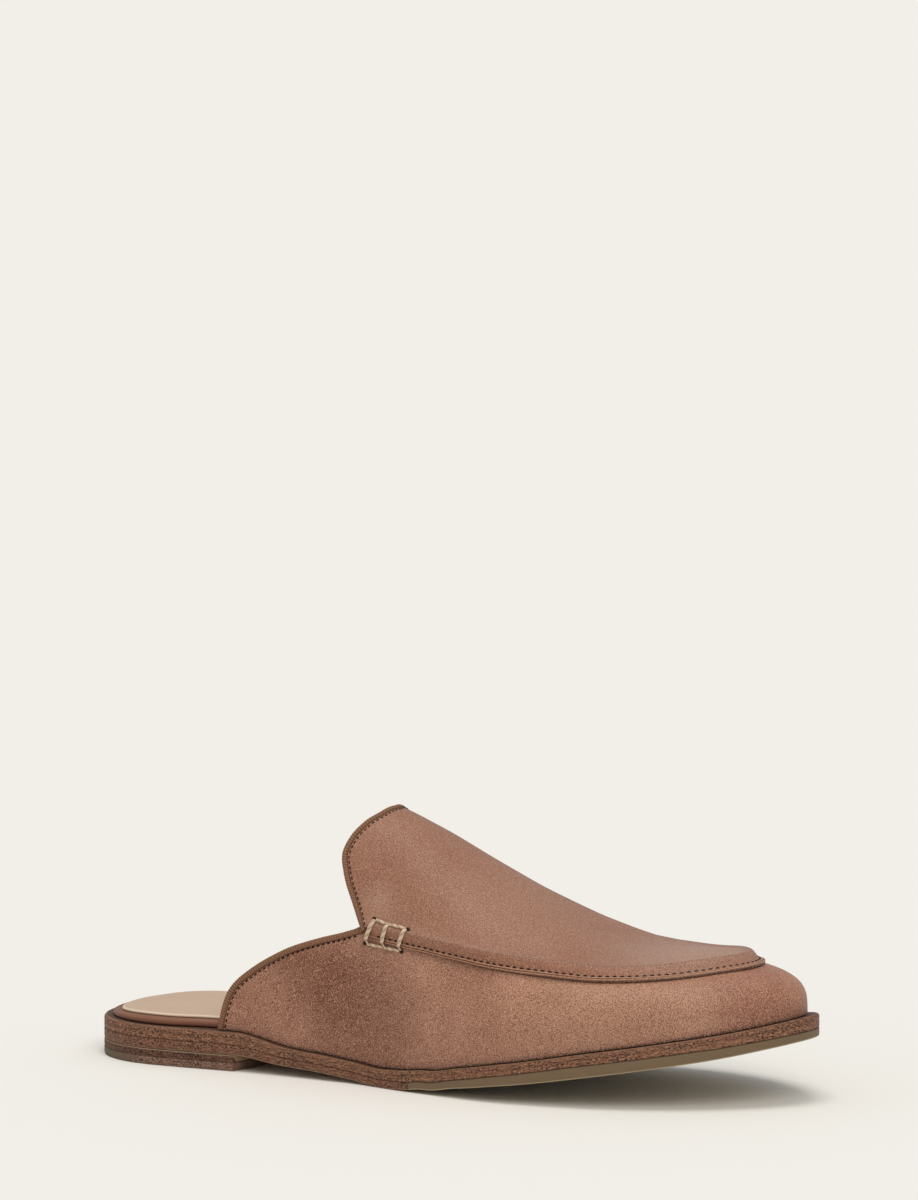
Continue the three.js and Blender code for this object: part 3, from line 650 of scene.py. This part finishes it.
# Soft creases, given one by one: side, the line as turn and share of the way up, its half width in
# millimetres and its height, which is below zero for a trough.
CREASES = [
    (-1, [(0.4, 0.12), (0.43, 0.2), (0.455, 0.29)], 7.0, -0.5),
    (-1, [(0.43, 0.07), (0.47, 0.16), (0.49, 0.25)], 8.0, 0.45),
    (-1, [(0.47, 0.04), (0.52, 0.12), (0.545, 0.24)], 8.0, -0.4),
    (-1, [(0.56, 0.06), (0.585, 0.18), (0.59, 0.3)], 9.0, 0.3),
    (-1, [(0.62, 0.1), (0.635, 0.22), (0.63, 0.33)], 8.0, -0.35),
    (-1, [(0.72, 0.12), (0.76, 0.3), (0.84, 0.4)], 8.0, 0.25),
    (1, [(0.41, 0.1), (0.44, 0.2), (0.46, 0.3)], 7.0, -0.5),
    (1, [(0.48, 0.06), (0.52, 0.16), (0.53, 0.28)], 9.0, 0.4),
    (1, [(0.57, 0.08), (0.6, 0.2), (0.6, 0.32)], 8.0, -0.4),
    (1, [(0.7, 0.1), (0.75, 0.28), (0.8, 0.38)], 9.0, 0.25),
]


def creased(points, sides, creases):
    lift = np.zeros(points.shape[:-1])
    for side, line, width, height in creases:
        along = np.array(line)
        path = last_point(float(side), along[:, 0], along[:, 1])
        fade = np.exp(-((line_distance(points, path) / width) ** 2))
        lift += np.where(sides * side > 0, fade * height, 0)
    return lift


def waxed_calf(name, low, mid, patches, edge_stops, pores, specks):
    """Waxed pull-up calf: the wax breaks up in clouds as the hide is pulled over the last, so its tan
    runs from rust to a dusty bloom, over a fine pebble grain with a soft low shine.
    patches: a place in millimetres, a radius, a tint and how strongly it shows.
    edge_stops: tints by the distance from the piece's lower edge, mostly painted shade. pores, specks: how
    much they show."""
    material = new_material(name)
    spot = add(material, "TexCoord", out="Object")
    clouds = add(
        material, "TexNoise",
        {"Vector": spot, "Scale": 38.0, "Detail": 5.0, "Roughness": 0.62, "Distortion": 0.3},
    )
    clouded = add(material, "MapRange", {"Value": clouds, "From Min": 0.34, "From Max": 0.66})
    base = add(material, "Mix", {0: clouded, 6: low, 7: mid})
    for centre, radius, tint, strength in patches:
        place = tuple((np.array(centre) - CENTRE) / 1000)
        apart = add(material, "VectorMath", {0: spot, 1: place}, operation="DISTANCE")
        blurred = add(
            material, "Math",
            {0: clouds, 1: 0.6 * radius / 1000, 2: apart},
            operation="MULTIPLY_ADD",
        )
        fade = add(
            material, "MapRange",
            {"Value": blurred, "From Min": 0.45 * radius / 1000, "From Max": 1.5 * radius / 1000,
             "To Min": strength, "To Max": 0.0},
            interpolation_type="SMOOTHSTEP",
        )
        base = add(material, "Mix", {0: fade, 6: base, 7: tint})
    where = add(material, "Attribute", out="Vector", attribute_name="place")
    from_edge = add(material, "SeparateXYZ", {0: where}, out=1)
    # Tints from the lower edge, mostly painted shade in the crevices and grooves there.
    base = toned_along(material, base, from_edge, edge_stops)
    # Pebbles of the grain are about 0.3 mm across in the hide; 0.8 mm here, so that they show. Worn
    # specks and open pores lie about 0.7 mm apart, twice as far as the real ones.
    grain = add(
        material, "TexVoronoi",
        {"Vector": spot, "Scale": 1000 / 0.8, "Smoothness": 0.5}, feature="SMOOTH_F1",
    )
    speck = add(material, "TexNoise", {"Vector": spot, "Scale": 1000 / 0.34, "Detail": 1.0, "Roughness": 0.6})
    dusted_share = add(
        material, "MapRange",
        {"Value": speck, "From Min": 0.5, "From Max": 0.64, "To Min": 0.0, "To Max": specks},
    )
    dusted = add(material, "Mix", {0: dusted_share, 6: base, 7: "#CFA386"})
    pored = add(
        material, "MapRange",
        {"Value": speck, "From Min": 0.36, "From Max": 0.5, "To Min": pores, "To Max": 0.0},
    )
    toned = add(material, "Mix", {0: pored, 6: dusted, 7: "#542F20"})
    relief = add(material, "Math", {0: grain, 1: -0.7, 2: speck}, operation="MULTIPLY_ADD")
    bump = add(material, "Bump", {"Strength": 0.35, "Distance": 0.00012, "Height": relief})
    rough = add(material, "MapRange", {"Value": clouds, "To Min": 0.48, "To Max": 0.6})
    return finish_material(material, toned, rough, bump, IOR=1.47, Specular_IOR_Level=0.35)


upper_calf = waxed_calf(
    "waxed calf of the vamp", "#93604A", "#AF7D64",
    [
        ((101, -33, 30), 24.0, "#693119", 0.95),
        ((84, -30, 40), 16.0, "#754029", 0.75),
        ((116, -37, 18), 30.0, "#764631", 0.7),
        ((108, -34, 47), 8.0, "#AC7C63", 0.5),
        ((205, -44, 34), 40.0, "#B18468", 0.5),
        ((236, -26, 32), 16.0, "#B88A70", 0.5),
        ((255, -8, 34), 24.0, "#86503B", 0.6),
        ((92, 30, 30), 24.0, "#7E4630", 0.6),
    ],
    # Painted shade in the crevice along the lower edge, over the midsole.
    [(0.0, "#2E1A12", 0.9), (0.35, "#2E1A12", 0.75), (1.1, "#7A4C38", 0.2), (3.0, "#7A4C38", 0.0)],
    0.66, 0.6,
)
lining_leather = smooth_calf(
    "undyed lining leather", "#BB9C82", "#A98B71", 0.8, 0.6, 0.75,
    # Painted shade near the lower edge, inside the shoe.
    [(0.0, "#7A5F4C", 0.4), (2.0, "#7A5F4C", 0.0)],
)

UPPER_ROWS = 190
up_shares = np.concatenate([np.linspace(0, JUNCTION_UP, 30), np.linspace(JUNCTION_UP, 1, 46)[1:]])
upper_up = np.concatenate([up_shares, up_shares[-2::-1]])[None, :]
upper_side = np.concatenate([-np.ones(len(up_shares)), np.ones(len(up_shares) - 1)])[None, :]
upper_rim = np.where(upper_up < JUNCTION_UP, quarter_rim(upper_up), tongue_rim(upper_up))
upper_turn = upper_rim + (1 - upper_rim) * np.linspace(0, 1, UPPER_ROWS + 1)[:, None]
upper_sheet = last_point(upper_side, upper_turn, upper_up + 0 * upper_turn)
upper_normals = sheet_normals(upper_sheet)
upper_lift = creased(upper_sheet, upper_side, CREASES)
# Creases fade out before the feather line, where the upper is held to the midsole, and at its rim.
hold = np.clip(upper_up / 0.1, 0, 1) * np.clip((upper_turn - upper_rim) / 0.03, 0, 1)
upper_outer = upper_sheet + upper_normals * (upper_lift * hold)[..., None]
upper_inner = upper_sheet - upper_normals * (UPPER_WALL - 0.6 * upper_lift * hold)[..., None]
upper_points, upper_faces, upper_lining = shell(upper_outer, upper_inner)


def walked(points, axis):
    """How far each point of a grid is from the grid's first row or column, along the grid."""
    steps = np.linalg.norm(np.diff(points, axis=axis), axis=-1)
    start = np.zeros((1, steps.shape[1]) if axis == 0 else (steps.shape[0], 1))
    return np.concatenate([start, np.cumsum(steps, axis)], axis)


def edge_place(grid, from_edge):
    """Each point's distance from the rim and from the lower edge, for both faces of a shell."""
    place = np.stack([walked(grid, 0), from_edge, 0 * from_edge], -1).reshape(-1, 3)
    return np.concatenate([place, place])


upper_height = np.minimum(walked(upper_outer, 1), walked(upper_outer[:, ::-1], 1)[:, ::-1])
make_piece(
    "upper_calf", "upper", upper_points, upper_faces, edge_place(upper_outer, upper_height),
    [upper_calf, lining_leather], face_material=upper_lining, sharp=60,
)

# The apron
# A plug of the same calf, 2 mm thick, that runs up into the tongue. Its edge is turned down and sewn to
# the vamp with a raised seam: a rounded shoulder, a side band, and two thin cut edges that stand out.
APRON = 2.0
# Lower edge of the apron: turn, share of the way up a rib.
APRON_EDGE = [
    (0.45, 0.333), (0.489, 0.357), (0.527, 0.385), (0.566, 0.41), (0.61, 0.437), (0.676, 0.468),
    (0.731, 0.482), (0.776, 0.493), (0.82, 0.505), (0.88, 0.518), (1.0, 0.525),
]
# Section of the apron: millimetres from its lower edge, thickness in millimetres. Two cut edges lie
# under the stitches, and the band above them rises to the shoulder.
APRON_SECTION = [
    (0.0, 0.5), (0.12, 1.0), (0.3, 1.32), (0.5, 1.3), (0.62, 1.0), (0.84, 0.98), (0.96, 1.25),
    (1.15, 1.4), (1.4, 1.34), (1.7, 1.12), (2.1, 1.2), (2.6, 1.5), (3.3, 1.95), (4.1, 2.42),
    (4.9, 2.76), (5.6, 2.88), (6.4, 2.74), (7.5, 2.38), (9.5, 2.1), (13.0, 2.0), (60.0, 2.0),
]
apron_edge = table_curve(APRON_EDGE, 1)
apron_thickness = table_curve(APRON_SECTION, 1)
SETTLING_ROUNDS = 14


def apron_place(along, across):
    """Turn and share of the way up a rib, which depend on each other, settled in a few rounds."""
    up = across + 0 * along
    for _ in range(SETTLING_ROUNDS):
        rim = tongue_rim(up)
        turn = rim + (1 - rim) * along
        edge = apron_edge(turn)
        up = edge + (1 - edge) * across
    return turn, up


APRON_ROWS = 230
apron_along = np.linspace(0, 1, APRON_ROWS + 1)[:, None]
EDGE_MILLIMETRES = np.concatenate([
    np.arange(0, 2.0, 0.12), np.arange(2.0, 6.5, 0.3), np.arange(6.5, 12, 0.7),
])
trial = np.linspace(0, 1, 81)[None, :]


def apron_columns(side):
    """Across shares for one side, close together over the seam, and how far each is from the edge."""
    turn, up = apron_place(apron_along, trial)
    points = last_point(side, turn, up)
    steps = np.linalg.norm(np.diff(points, axis=1), axis=-1)
    distance = np.concatenate([np.zeros((len(points), 1)), np.cumsum(steps, 1)], 1)
    shares, distances = [], []
    for row in distance:
        rest = np.linspace(12, row[-1], 36)
        wanted = np.concatenate([EDGE_MILLIMETRES, rest])
        shares.append(np.interp(wanted, row, trial[0]))
        distances.append(wanted)
    return np.array(shares), np.array(distances)


outer_across, outer_distance = apron_columns(-1.0)
inner_across, inner_distance = apron_columns(1.0)
apron_across = np.concatenate([outer_across, inner_across[:, -2::-1]], 1)
apron_distance = np.concatenate([outer_distance, inner_distance[:, -2::-1]], 1)
apron_side = np.concatenate([-np.ones(outer_across.shape[1]), np.ones(inner_across.shape[1] - 1)])[None, :]
apron_turn, apron_up = apron_place(apron_along, apron_across)
apron_sheet = last_point(apron_side, apron_turn, apron_up)
apron_normals = sheet_normals(apron_sheet)

# Soft creases of the tongue and the apron, given as those of the upper are.
APRON_CREASES = [
    (-1, [(0.43, 0.72), (0.45, 0.66), (0.475, 0.6)], 8.0, -0.4),
    (-1, [(0.44, 0.55), (0.465, 0.55), (0.49, 0.58)], 6.0, 0.3),
    (-1, [(0.52, 0.62), (0.545, 0.72), (0.55, 0.85)], 9.0, -0.25),
    (1, [(0.44, 0.7), (0.46, 0.62), (0.49, 0.58)], 8.0, -0.4),
    (1, [(0.52, 0.6), (0.55, 0.7), (0.56, 0.85)], 9.0, -0.25),
]
apron_lift = creased(apron_sheet, apron_side, APRON_CREASES) * np.clip((apron_distance - 6) / 6, 0, 1)
apron_lift *= np.clip((apron_turn - tongue_rim(apron_up)) / 0.02, 0, 1)
# The shoulder stands up higher round the toe.
shoulder = 0.8 * np.exp(-(((apron_distance - 5.4) / 1.9) ** 2)) * smooth_step(apron_turn, 0.68, 0.84)
apron_rise = GAP + apron_thickness(apron_distance) + apron_lift + shoulder
apron_outer = apron_sheet + apron_normals * apron_rise[..., None]
apron_inner = apron_sheet + apron_normals * GAP
apron_points, apron_faces, apron_under = shell(apron_outer, apron_inner)
apron_calf = waxed_calf(
    "waxed calf of the apron", "#8F5F48", "#996C55",
    [
        ((112, -22, 70), 16.0, "#8A543F", 0.45),
        ((118, -30, 58), 9.0, "#AE8069", 0.4),
        # A painted sky reflection, greyish, over the toe's top.
        ((225, 0, 47), 36.0, "#AD8C7A", 0.75),
        ((116, -26, 62), 8.0, "#B08A75", 0.5),
        # A painted highlight, greyish, along the apron's ridge.
        ((170, -8, 64), 30.0, "#9D735C", 0.5),
    ],
    # Along the edge: painted shade in the crevice under the cut edges, between them and at the stitches; the
    # band redder, burnished and partly painted shade; greyish painted shade along the shoulder's crest.
    [
        (0.0, "#2E1A12", 0.9), (0.06, "#2E1A12", 0.6), (0.15, "#BA8767", 0.5), (0.5, "#BA8767", 0.5),
        (0.6, "#3C2418", 0.85), (0.86, "#3C2418", 0.8), (1.0, "#BA8767", 0.5), (1.4, "#B08066", 0.5),
        (1.7, "#6E4230", 0.55), (2.3, "#8A553D", 0.55), (4.4, "#8F5A42", 0.5), (5.5, "#77503F", 0.55),
        (6.3, "#8E6B5C", 0.4), (8.0, "#8E6B5C", 0.0),
    ],
    0.46, 0.42,
)
make_piece(
    "apron_calf", "apron", apron_points, apron_faces, edge_place(apron_outer, apron_distance),
    [apron_calf, lining_leather], face_material=apron_under, sharp=60,
)

# The bindings
# Narrow ribbed edging of thin brown leather, folded over the cut edges of the quarters and the tongue
# and sewn through. Each runs from the sole or from side to side in one length.
BINDING_WIDTH = 2.0
# Ribs are 0.45 mm apart on the real edging; 0.9 mm here, so that they show.
RIB_PITCH = 0.9
RIB_HEIGHT = 0.08
# The strip's section: its points, its power, where 1 is an ellipse and 0 a box, and how much wider and
# further off the rim it is than half of BINDING_WIDTH. Sections are RING_STEP apart.
RING_POINTS = 20
RING_POWER = 0.62
RING_WIDER = 0.08
RING_OFF = 0.2
RING_STEP = 0.25
# A step in turn, or up a rib, that is small enough to take a direction from.
SMALL_STEP = 0.004
SIDES = ((-1.0, "lateral"), (1.0, "medial"))
# Scale of Blender's wave texture that gives one band to the millimetre.
WAVE_PER_MM = 0.31


def ribbed_binding():
    """Thin suede-finished edging leather, creased across by the folding tool: matt, close ribs that are
    darker in their hollows."""
    material = new_material("ribbed edging leather")
    where = add(material, "Attribute", out="Vector", attribute_name="place")
    spot = add(material, "TexCoord", out="Object")
    ribs = add(
        material, "TexWave",
        {"Vector": where, "Scale": WAVE_PER_MM / RIB_PITCH, "Distortion": 1.8, "Detail": 2.0,
         "Detail Scale": 2.0},
        out=1, wave_type="BANDS", bands_direction="X",
    )
    fuzz = add(material, "TexNoise", {"Vector": spot, "Scale": 1400.0, "Detail": 3.0})
    tone = add(material, "Mix", {0: ribs, 6: "#5B3A28", 7: "#966A4F"})
    fuzzed = add(material, "Mix", {0: fuzz, 6: "#5E3D2B", 7: "#A67E60"})
    napped = add(material, "Mix", {0: 0.4, 6: tone, 7: fuzzed})
    bump = add(material, "Bump", {"Strength": 0.5, "Distance": 0.00012, "Height": ribs})
    return finish_material(material, napped, 0.75, bump, IOR=1.45, Specular_IOR_Level=0.25)


def unit(vectors):
    return vectors / np.linalg.norm(vectors, axis=-1, keepdims=True)


def steps_beside(up):
    """Shares of the way up a rib just under and over one, but not past the rib's ends."""
    return np.maximum(up - SMALL_STEP, 0), np.minimum(up + SMALL_STEP, 1)


def last_normal(side, turn, up):
    """The last's outward direction at a point of its surface."""
    low, high = steps_beside(up)
    upward = last_point(side, turn, high) - last_point(side, turn, low)
    forward = last_point(side, turn + SMALL_STEP, up) - last_point(side, turn - SMALL_STEP, up)
    return unit(np.cross(forward, upward) * -side)


def rim_frame(side, rim, up):
    """Where a rim lies at a height of a rib: its point, the outward direction and the way off the edge."""
    turn = rim(up)
    low, high = steps_beside(up)
    normal = last_normal(side, turn, up)
    edge = unit(last_point(side, rim(high), high) - last_point(side, rim(low), low))
    return last_point(side, turn, up), normal, unit(np.cross(edge, normal) * side)


def binding(point, normal, away, inside, outside):
    """A rounded strip along a rim, its outer face ribbed across."""
    run = np.cumsum(np.linalg.norm(np.diff(point, axis=0, prepend=point[:1]), axis=1))
    even = np.arange(0, run[-1], RING_STEP)
    point, normal, away = (
        np.stack([np.interp(even, run, values[:, i]) for i in range(3)], -1)
        for values in (point, normal, away)
    )
    ring = np.linspace(0, 2 * np.pi, RING_POINTS, endpoint=False)
    off, beside = (np.sign(wave) * np.abs(wave) ** RING_POWER for wave in (np.cos(ring), np.sin(ring)))
    rib = 1 + RIB_HEIGHT * np.cos(2 * np.pi * even / RIB_PITCH)[:, None]
    out = 0.5 * BINDING_WIDTH + RING_OFF + (0.5 * BINDING_WIDTH + RING_WIDER) * off * rib
    out = np.minimum(out, BINDING_WIDTH + GAP + RING_WIDER)
    across = 0.5 * (outside - inside) + 0.5 * (outside + inside) * beside + 0 * rib
    points = point[:, None] + away[:, None] * out[..., None] + normal[:, None] * across[..., None]
    place = np.stack([even[:, None] + 0 * out, out, across], -1)
    return points.reshape(-1, 3), tube_faces(*points.shape[:2]), place.reshape(-1, 3)


edging_leather = ribbed_binding()


def binding_piece(name, node, rim, outside):
    """The binding along a rim, which laps BINDING_LAP past the upper's inner face."""
    points, faces, place = binding(*rim, UPPER_WALL + BINDING_LAP, outside)
    make_piece(name, node, points, faces, place, [edging_leather], sharp=70)


rising = np.linspace(0, JUNCTION_UP - 0.002, 240)
for side, word in SIDES:
    binding_piece(
        f"quarter_binding_{word}_leather", f"quarter_binding_{word}",
        rim_frame(side, quarter_rim, rising), BINDING_LAP,
    )

tongue_up = np.linspace(JUNCTION_UP + 0.004, 1, 400)
half_frames = [rim_frame(side, tongue_rim, tongue_up) for side, _ in SIDES]
tongue_frame = [np.concatenate([lateral, medial[-2::-1]]) for lateral, medial in zip(*half_frames)]
binding_piece("tongue_binding_leather", "tongue_binding", tongue_frame, GAP + APRON + BINDING_LAP)

# The thread
# Waxed black-brown thread, machine sewn along the apron's band and just inside the bindings, and a thick
# cream linen thread, hand sewn as three bars over the band at each corner of the apron.


def waxed_thread(name, light, dark, twist_mm):
    """Waxed linen thread, two plies twisted: slanting plies with a dull wax shine."""
    material = new_material(name)
    where = add(material, "Attribute", out="Vector", attribute_name="place")
    plies = add(
        material, "TexWave",
        {"Vector": where, "Scale": WAVE_PER_MM / twist_mm, "Distortion": 0.4, "Detail": 1.0},
        out=1, wave_type="BANDS", bands_direction="DIAGONAL",
    )
    tone = add(material, "Mix", {0: plies, 6: dark, 7: light})
    bump = add(material, "Bump", {"Strength": 0.5, "Distance": 0.0001, "Height": plies})
    return finish_material(material, tone, 0.6, bump, IOR=1.5, Specular_IOR_Level=0.2)


def strand(line, upward, half_width, half_depth):
    """A thread along a line, as rings whose half widths across and up are given at each point."""
    forward = np.gradient(line, axis=0)
    sideways = np.cross(forward, upward)
    sideways /= np.linalg.norm(sideways, axis=1, keepdims=True)
    ring = np.linspace(0, 2 * np.pi, 8, endpoint=False)
    points = (
        line[:, None]
        + sideways[:, None] * (np.cos(ring) * half_width[:, None])[..., None]
        + upward[:, None] * (np.sin(ring) * half_depth[:, None])[..., None]
    )
    run = np.cumsum(np.linalg.norm(np.diff(line, axis=0, prepend=line[:1]), axis=1))
    place = np.stack([run[:, None] + 0 * ring, half_width[:, None] * ring, 0 * run[:, None] + 0 * ring], -1)
    return points.reshape(-1, 3), tube_faces(*points.shape[:2]), place.reshape(-1, 3)


def thread_piece(name, strands, material):
    """One piece of all the strands of a seam."""
    points, faces, place = [], [], []
    count = 0
    for strand_points, strand_faces, strand_place in strands:
        faces += [[corner + count for corner in face] for face in strand_faces]
        count += len(strand_points)
        points.append(strand_points)
        place.append(strand_place)
    make_piece(
        name, None, np.concatenate(points), faces, np.concatenate(place), [material],
        sharp=80,
    )


# A stitch's ends lie SUNK of its radius under the leather, and taper to THIN_END of its thickness. The
# first one of a seam starts SEAM_START from the seam's end.
SUNK = 0.9
THIN_END = 0.55
SEAM_START = 0.6


def stitches(path, normals, pitch, length, radius):
    """Short stitches along a seam, each an arched thread whose ends go down into the leather."""
    run = np.concatenate([[0], np.cumsum(np.linalg.norm(np.diff(path, axis=0), axis=1))])
    share = np.linspace(0, 1, 7)
    arch = np.sin(np.pi * share)
    made = []
    for begin in np.arange(SEAM_START, run[-1] - length, pitch):
        at = begin + length * share
        line, upward = (
            np.stack([np.interp(at, run, values[:, i]) for i in range(3)], -1)
            for values in (path, normals)
        )
        line += upward * (radius * (1.25 * arch**0.45 - SUNK))[:, None]
        thick = radius * (THIN_END + (1 - THIN_END) * arch**0.5)
        made.append(strand(line, upward, thick, thick))
    return made


def grid_line(grid, normals, distance, wanted, rows):
    """Points of a grid at a distance from its edge, with distance given for each grid point."""
    points, up = [], []
    for values, directions, row in zip(grid[rows], normals[rows], distance[rows]):
        points.append([np.interp(wanted, row, values[:, i]) for i in range(3)])
        up.append([np.interp(wanted, row, directions[:, i]) for i in range(3)])
    return np.array(points), np.array(up)


dark_thread = waxed_thread("waxed dark thread", "#35211A", "#170D08", 0.7)
cream_thread = waxed_thread("waxed cream linen thread", "#D9C0A3", "#B0947A", 1.4)

# The seam along the apron's band, from one corner round to the other, and the seams inside the
# bindings: millimetres up from the apron's edge, and in from the rims.
SEAM_UP = 2.0
RIM_SEAM_IN = 0.55
half = outer_across.shape[1]
halves = []
for columns in (slice(None, half), slice(None, half - 2, -1)):
    halves.append(grid_line(
        apron_outer[:, columns], apron_normals[:, columns], apron_distance[:, columns], SEAM_UP,
        slice(3, None),
    ))
seam_path, seam_normals = (np.concatenate([outer, inner[-2::-1]]) for outer, inner in zip(*halves))
seam = stitches(seam_path, seam_normals, pitch=2.5, length=1.65, radius=0.27)
thread_piece("apron_seam_thread", seam, dark_thread)


def rim_seam(name, grid, normals, columns, pitch, length, radius):
    """Stitches just inside the rim that is a grid's first row, over some of its columns."""
    line, up = grid_line(
        grid[:, columns].swapaxes(0, 1), normals[:, columns].swapaxes(0, 1), walked(grid, 0)[:, columns].T,
        RIM_SEAM_IN, slice(None),
    )
    thread_piece(name, stitches(line, up, pitch, length, radius), dark_thread)


quarter_columns = int(np.sum(up_shares <= JUNCTION_UP - 0.015))
for name, columns in (
    ("quarter_seam_lateral_thread", slice(0, quarter_columns)),
    ("quarter_seam_medial_thread", slice(-1, -1 - quarter_columns, -1)),
):
    rim_seam(name, upper_outer, upper_normals, columns, pitch=2.1, length=1.45, radius=0.25)
rim_seam("tongue_seam_thread", apron_outer, apron_normals, slice(20, -20), pitch=1.9, length=1.3, radius=0.24)

# Three bars at each corner: turn and share of the way up a rib, at the lower end and at the upper one.
BARS = [
    ((0.4525, 0.317), (0.463, 0.411)),
    ((0.4695, 0.331), (0.476, 0.415)),
    ((0.4865, 0.342), (0.494, 0.43)),
]
# Height of a bar's middle line over the last, by the share of its length from the lower end.
BAR_RISE = [
    (0.0, -0.2), (0.08, 0.8), (0.2, 2.25), (0.4, 2.75), (0.65, 3.25), (0.85, 3.5), (0.94, 3.3), (1.0, 2.4),
]
bar_rise = table_curve(BAR_RISE, 1)


def laid_strand(side, start, end, rise, half_width, half_depth):
    """A strand over the leather between two places, each a turn and a share of the way up a rib."""
    share = np.linspace(0, 1, 25)
    turn = start[0] + (end[0] - start[0]) * share
    up = start[1] + (end[1] - start[1]) * share
    normal = last_normal(side, turn, up)
    taper = THIN_END + (1 - THIN_END) * np.sin(np.pi * share) ** 0.4
    line = last_point(side, turn, up) + normal * rise(share)[:, None]
    return strand(line, normal, half_width * taper, half_depth * taper)


# The thread also runs along the bars' ends, dipping into the awl holes, where short dark strands lie flush as
# painted shade. Heights over the last, half widths and half depths are in millimetres.
UPPER_RUN, LOWER_RUN = 2.95, 0.35
BAR_SIZE, RUN_SIZE, HOLE_SIZE = (0.88, 0.34), (0.55, 0.34), (0.62, 0.24)
for side, word in SIDES:
    laid = [laid_strand(side, low, high, bar_rise, *BAR_SIZE) for low, high in BARS]
    holes = []
    for row, height in ((1, UPPER_RUN), (0, LOWER_RUN)):
        ends = [bar[row] for bar in BARS]
        for start, end in zip(ends[:-1], ends[1:]):
            laid.append(laid_strand(
                side, start, end,
                lambda share, height=height: height - 0.55 + 0.75 * np.sin(np.pi * share) ** 0.5, *RUN_SIZE,
            ))
        for (turn, up), beyond in ((ends[0], -0.003), (ends[-1], 0.0035)):
            holes.append(laid_strand(
                side, (turn, up), (turn + beyond, up),
                lambda share, height=height: height - 0.15 + 0 * share, *HOLE_SIZE,
            ))
    thread_piece(f"apron_bars_{word}_thread", laid, cream_thread)
    # Dark strands at the awl holes: painted shade.
    thread_piece(f"apron_bar_hole_shade_{word}", holes, dark_thread)

# The studio
# A plain pale sweep under soft, even light, and a camera far off with a long lens.


def paper_sweep():
    """Matt background paper: one pale colour with a trace of tooth."""
    material = new_material("matt background paper")
    spot = add(material, "TexCoord", out="Object")
    tooth = add(material, "TexNoise", {"Vector": spot, "Scale": 900.0, "Detail": 2.0})
    bump = add(material, "Bump", {"Strength": 0.02, "Distance": 0.0001, "Height": tooth})
    return finish_material(material, "#EDEAE3", 0.95, bump, IOR=1.3)


floor_mesh = bpy.data.meshes.new("floor")
floor_mesh.from_pydata([(-12, -12, 0), (12, -12, 0), (12, 12, 0), (-12, 12, 0)], [], [(0, 1, 2, 3)])
floor_mesh.materials.append(paper_sweep())
floor = bpy.data.objects.new("floor", floor_mesh)
bpy.context.scene.collection.objects.link(floor)

world = bpy.data.worlds.new("soft room light")
bpy.context.scene.world = world
world.use_nodes = True
world.node_tree.nodes["Background"].inputs[0].default_value = (0.92, 0.985, 1.07, 1)
world.node_tree.nodes["Background"].inputs[1].default_value = 0.52

for name, azimuth, elevation, angle, strength in (
    ("key", 42.0, 44.0, 34.0, 0.8),
    ("top", 0.0, 85.0, 30.0, 1.15),
):
    sun = bpy.data.lights.new(name, "SUN")
    sun.energy = strength
    sun.angle = math.radians(angle)
    sun.color = (1.07, 1.012, 0.93)
    lamp = bpy.data.objects.new(name, sun)
    bpy.context.scene.collection.objects.link(lamp)
    lamp.rotation_euler = (math.radians(90 - elevation), 0, math.radians(azimuth))

# The camera: its turn from the outer side, its tilt, how far off it is, its lens in millimetres, and how
# far right of the reference point and above it that it aims, in metres.
TURN = math.radians(28.0)
TILT = math.radians(9.3)
DISTANCE = 5.0
LENS = 443.25
AIM_RIGHT, AIM_UP = 0.00186, 0.1307
reference = (np.array([130.0, 0.0, 30.0]) - CENTRE) / 1000
toward = np.array([math.sin(TURN) * math.cos(TILT), -math.cos(TURN) * math.cos(TILT), math.sin(TILT)])
right = np.array([math.cos(TURN), math.sin(TURN), 0.0])
upward = np.array([-math.sin(TURN) * math.sin(TILT), math.cos(TURN) * math.sin(TILT), math.cos(TILT)])
camera_data = bpy.data.cameras.new("camera")
camera_data.sensor_fit = "VERTICAL"
camera_data.sensor_height = 36.0
camera_data.lens = LENS
camera_data.clip_end = 60.0
camera = bpy.data.objects.new("camera", camera_data)
bpy.context.scene.collection.objects.link(camera)
position = reference + DISTANCE * toward
target = reference + AIM_RIGHT * right + AIM_UP * upward
aim = Vector((target - position).tolist())
camera.location = position.tolist()
camera.rotation_euler = aim.to_track_quat("-Z", "Y").to_euler()
bpy.context.scene.camera = camera
bpy.context.scene.view_settings.view_transform = "Standard"
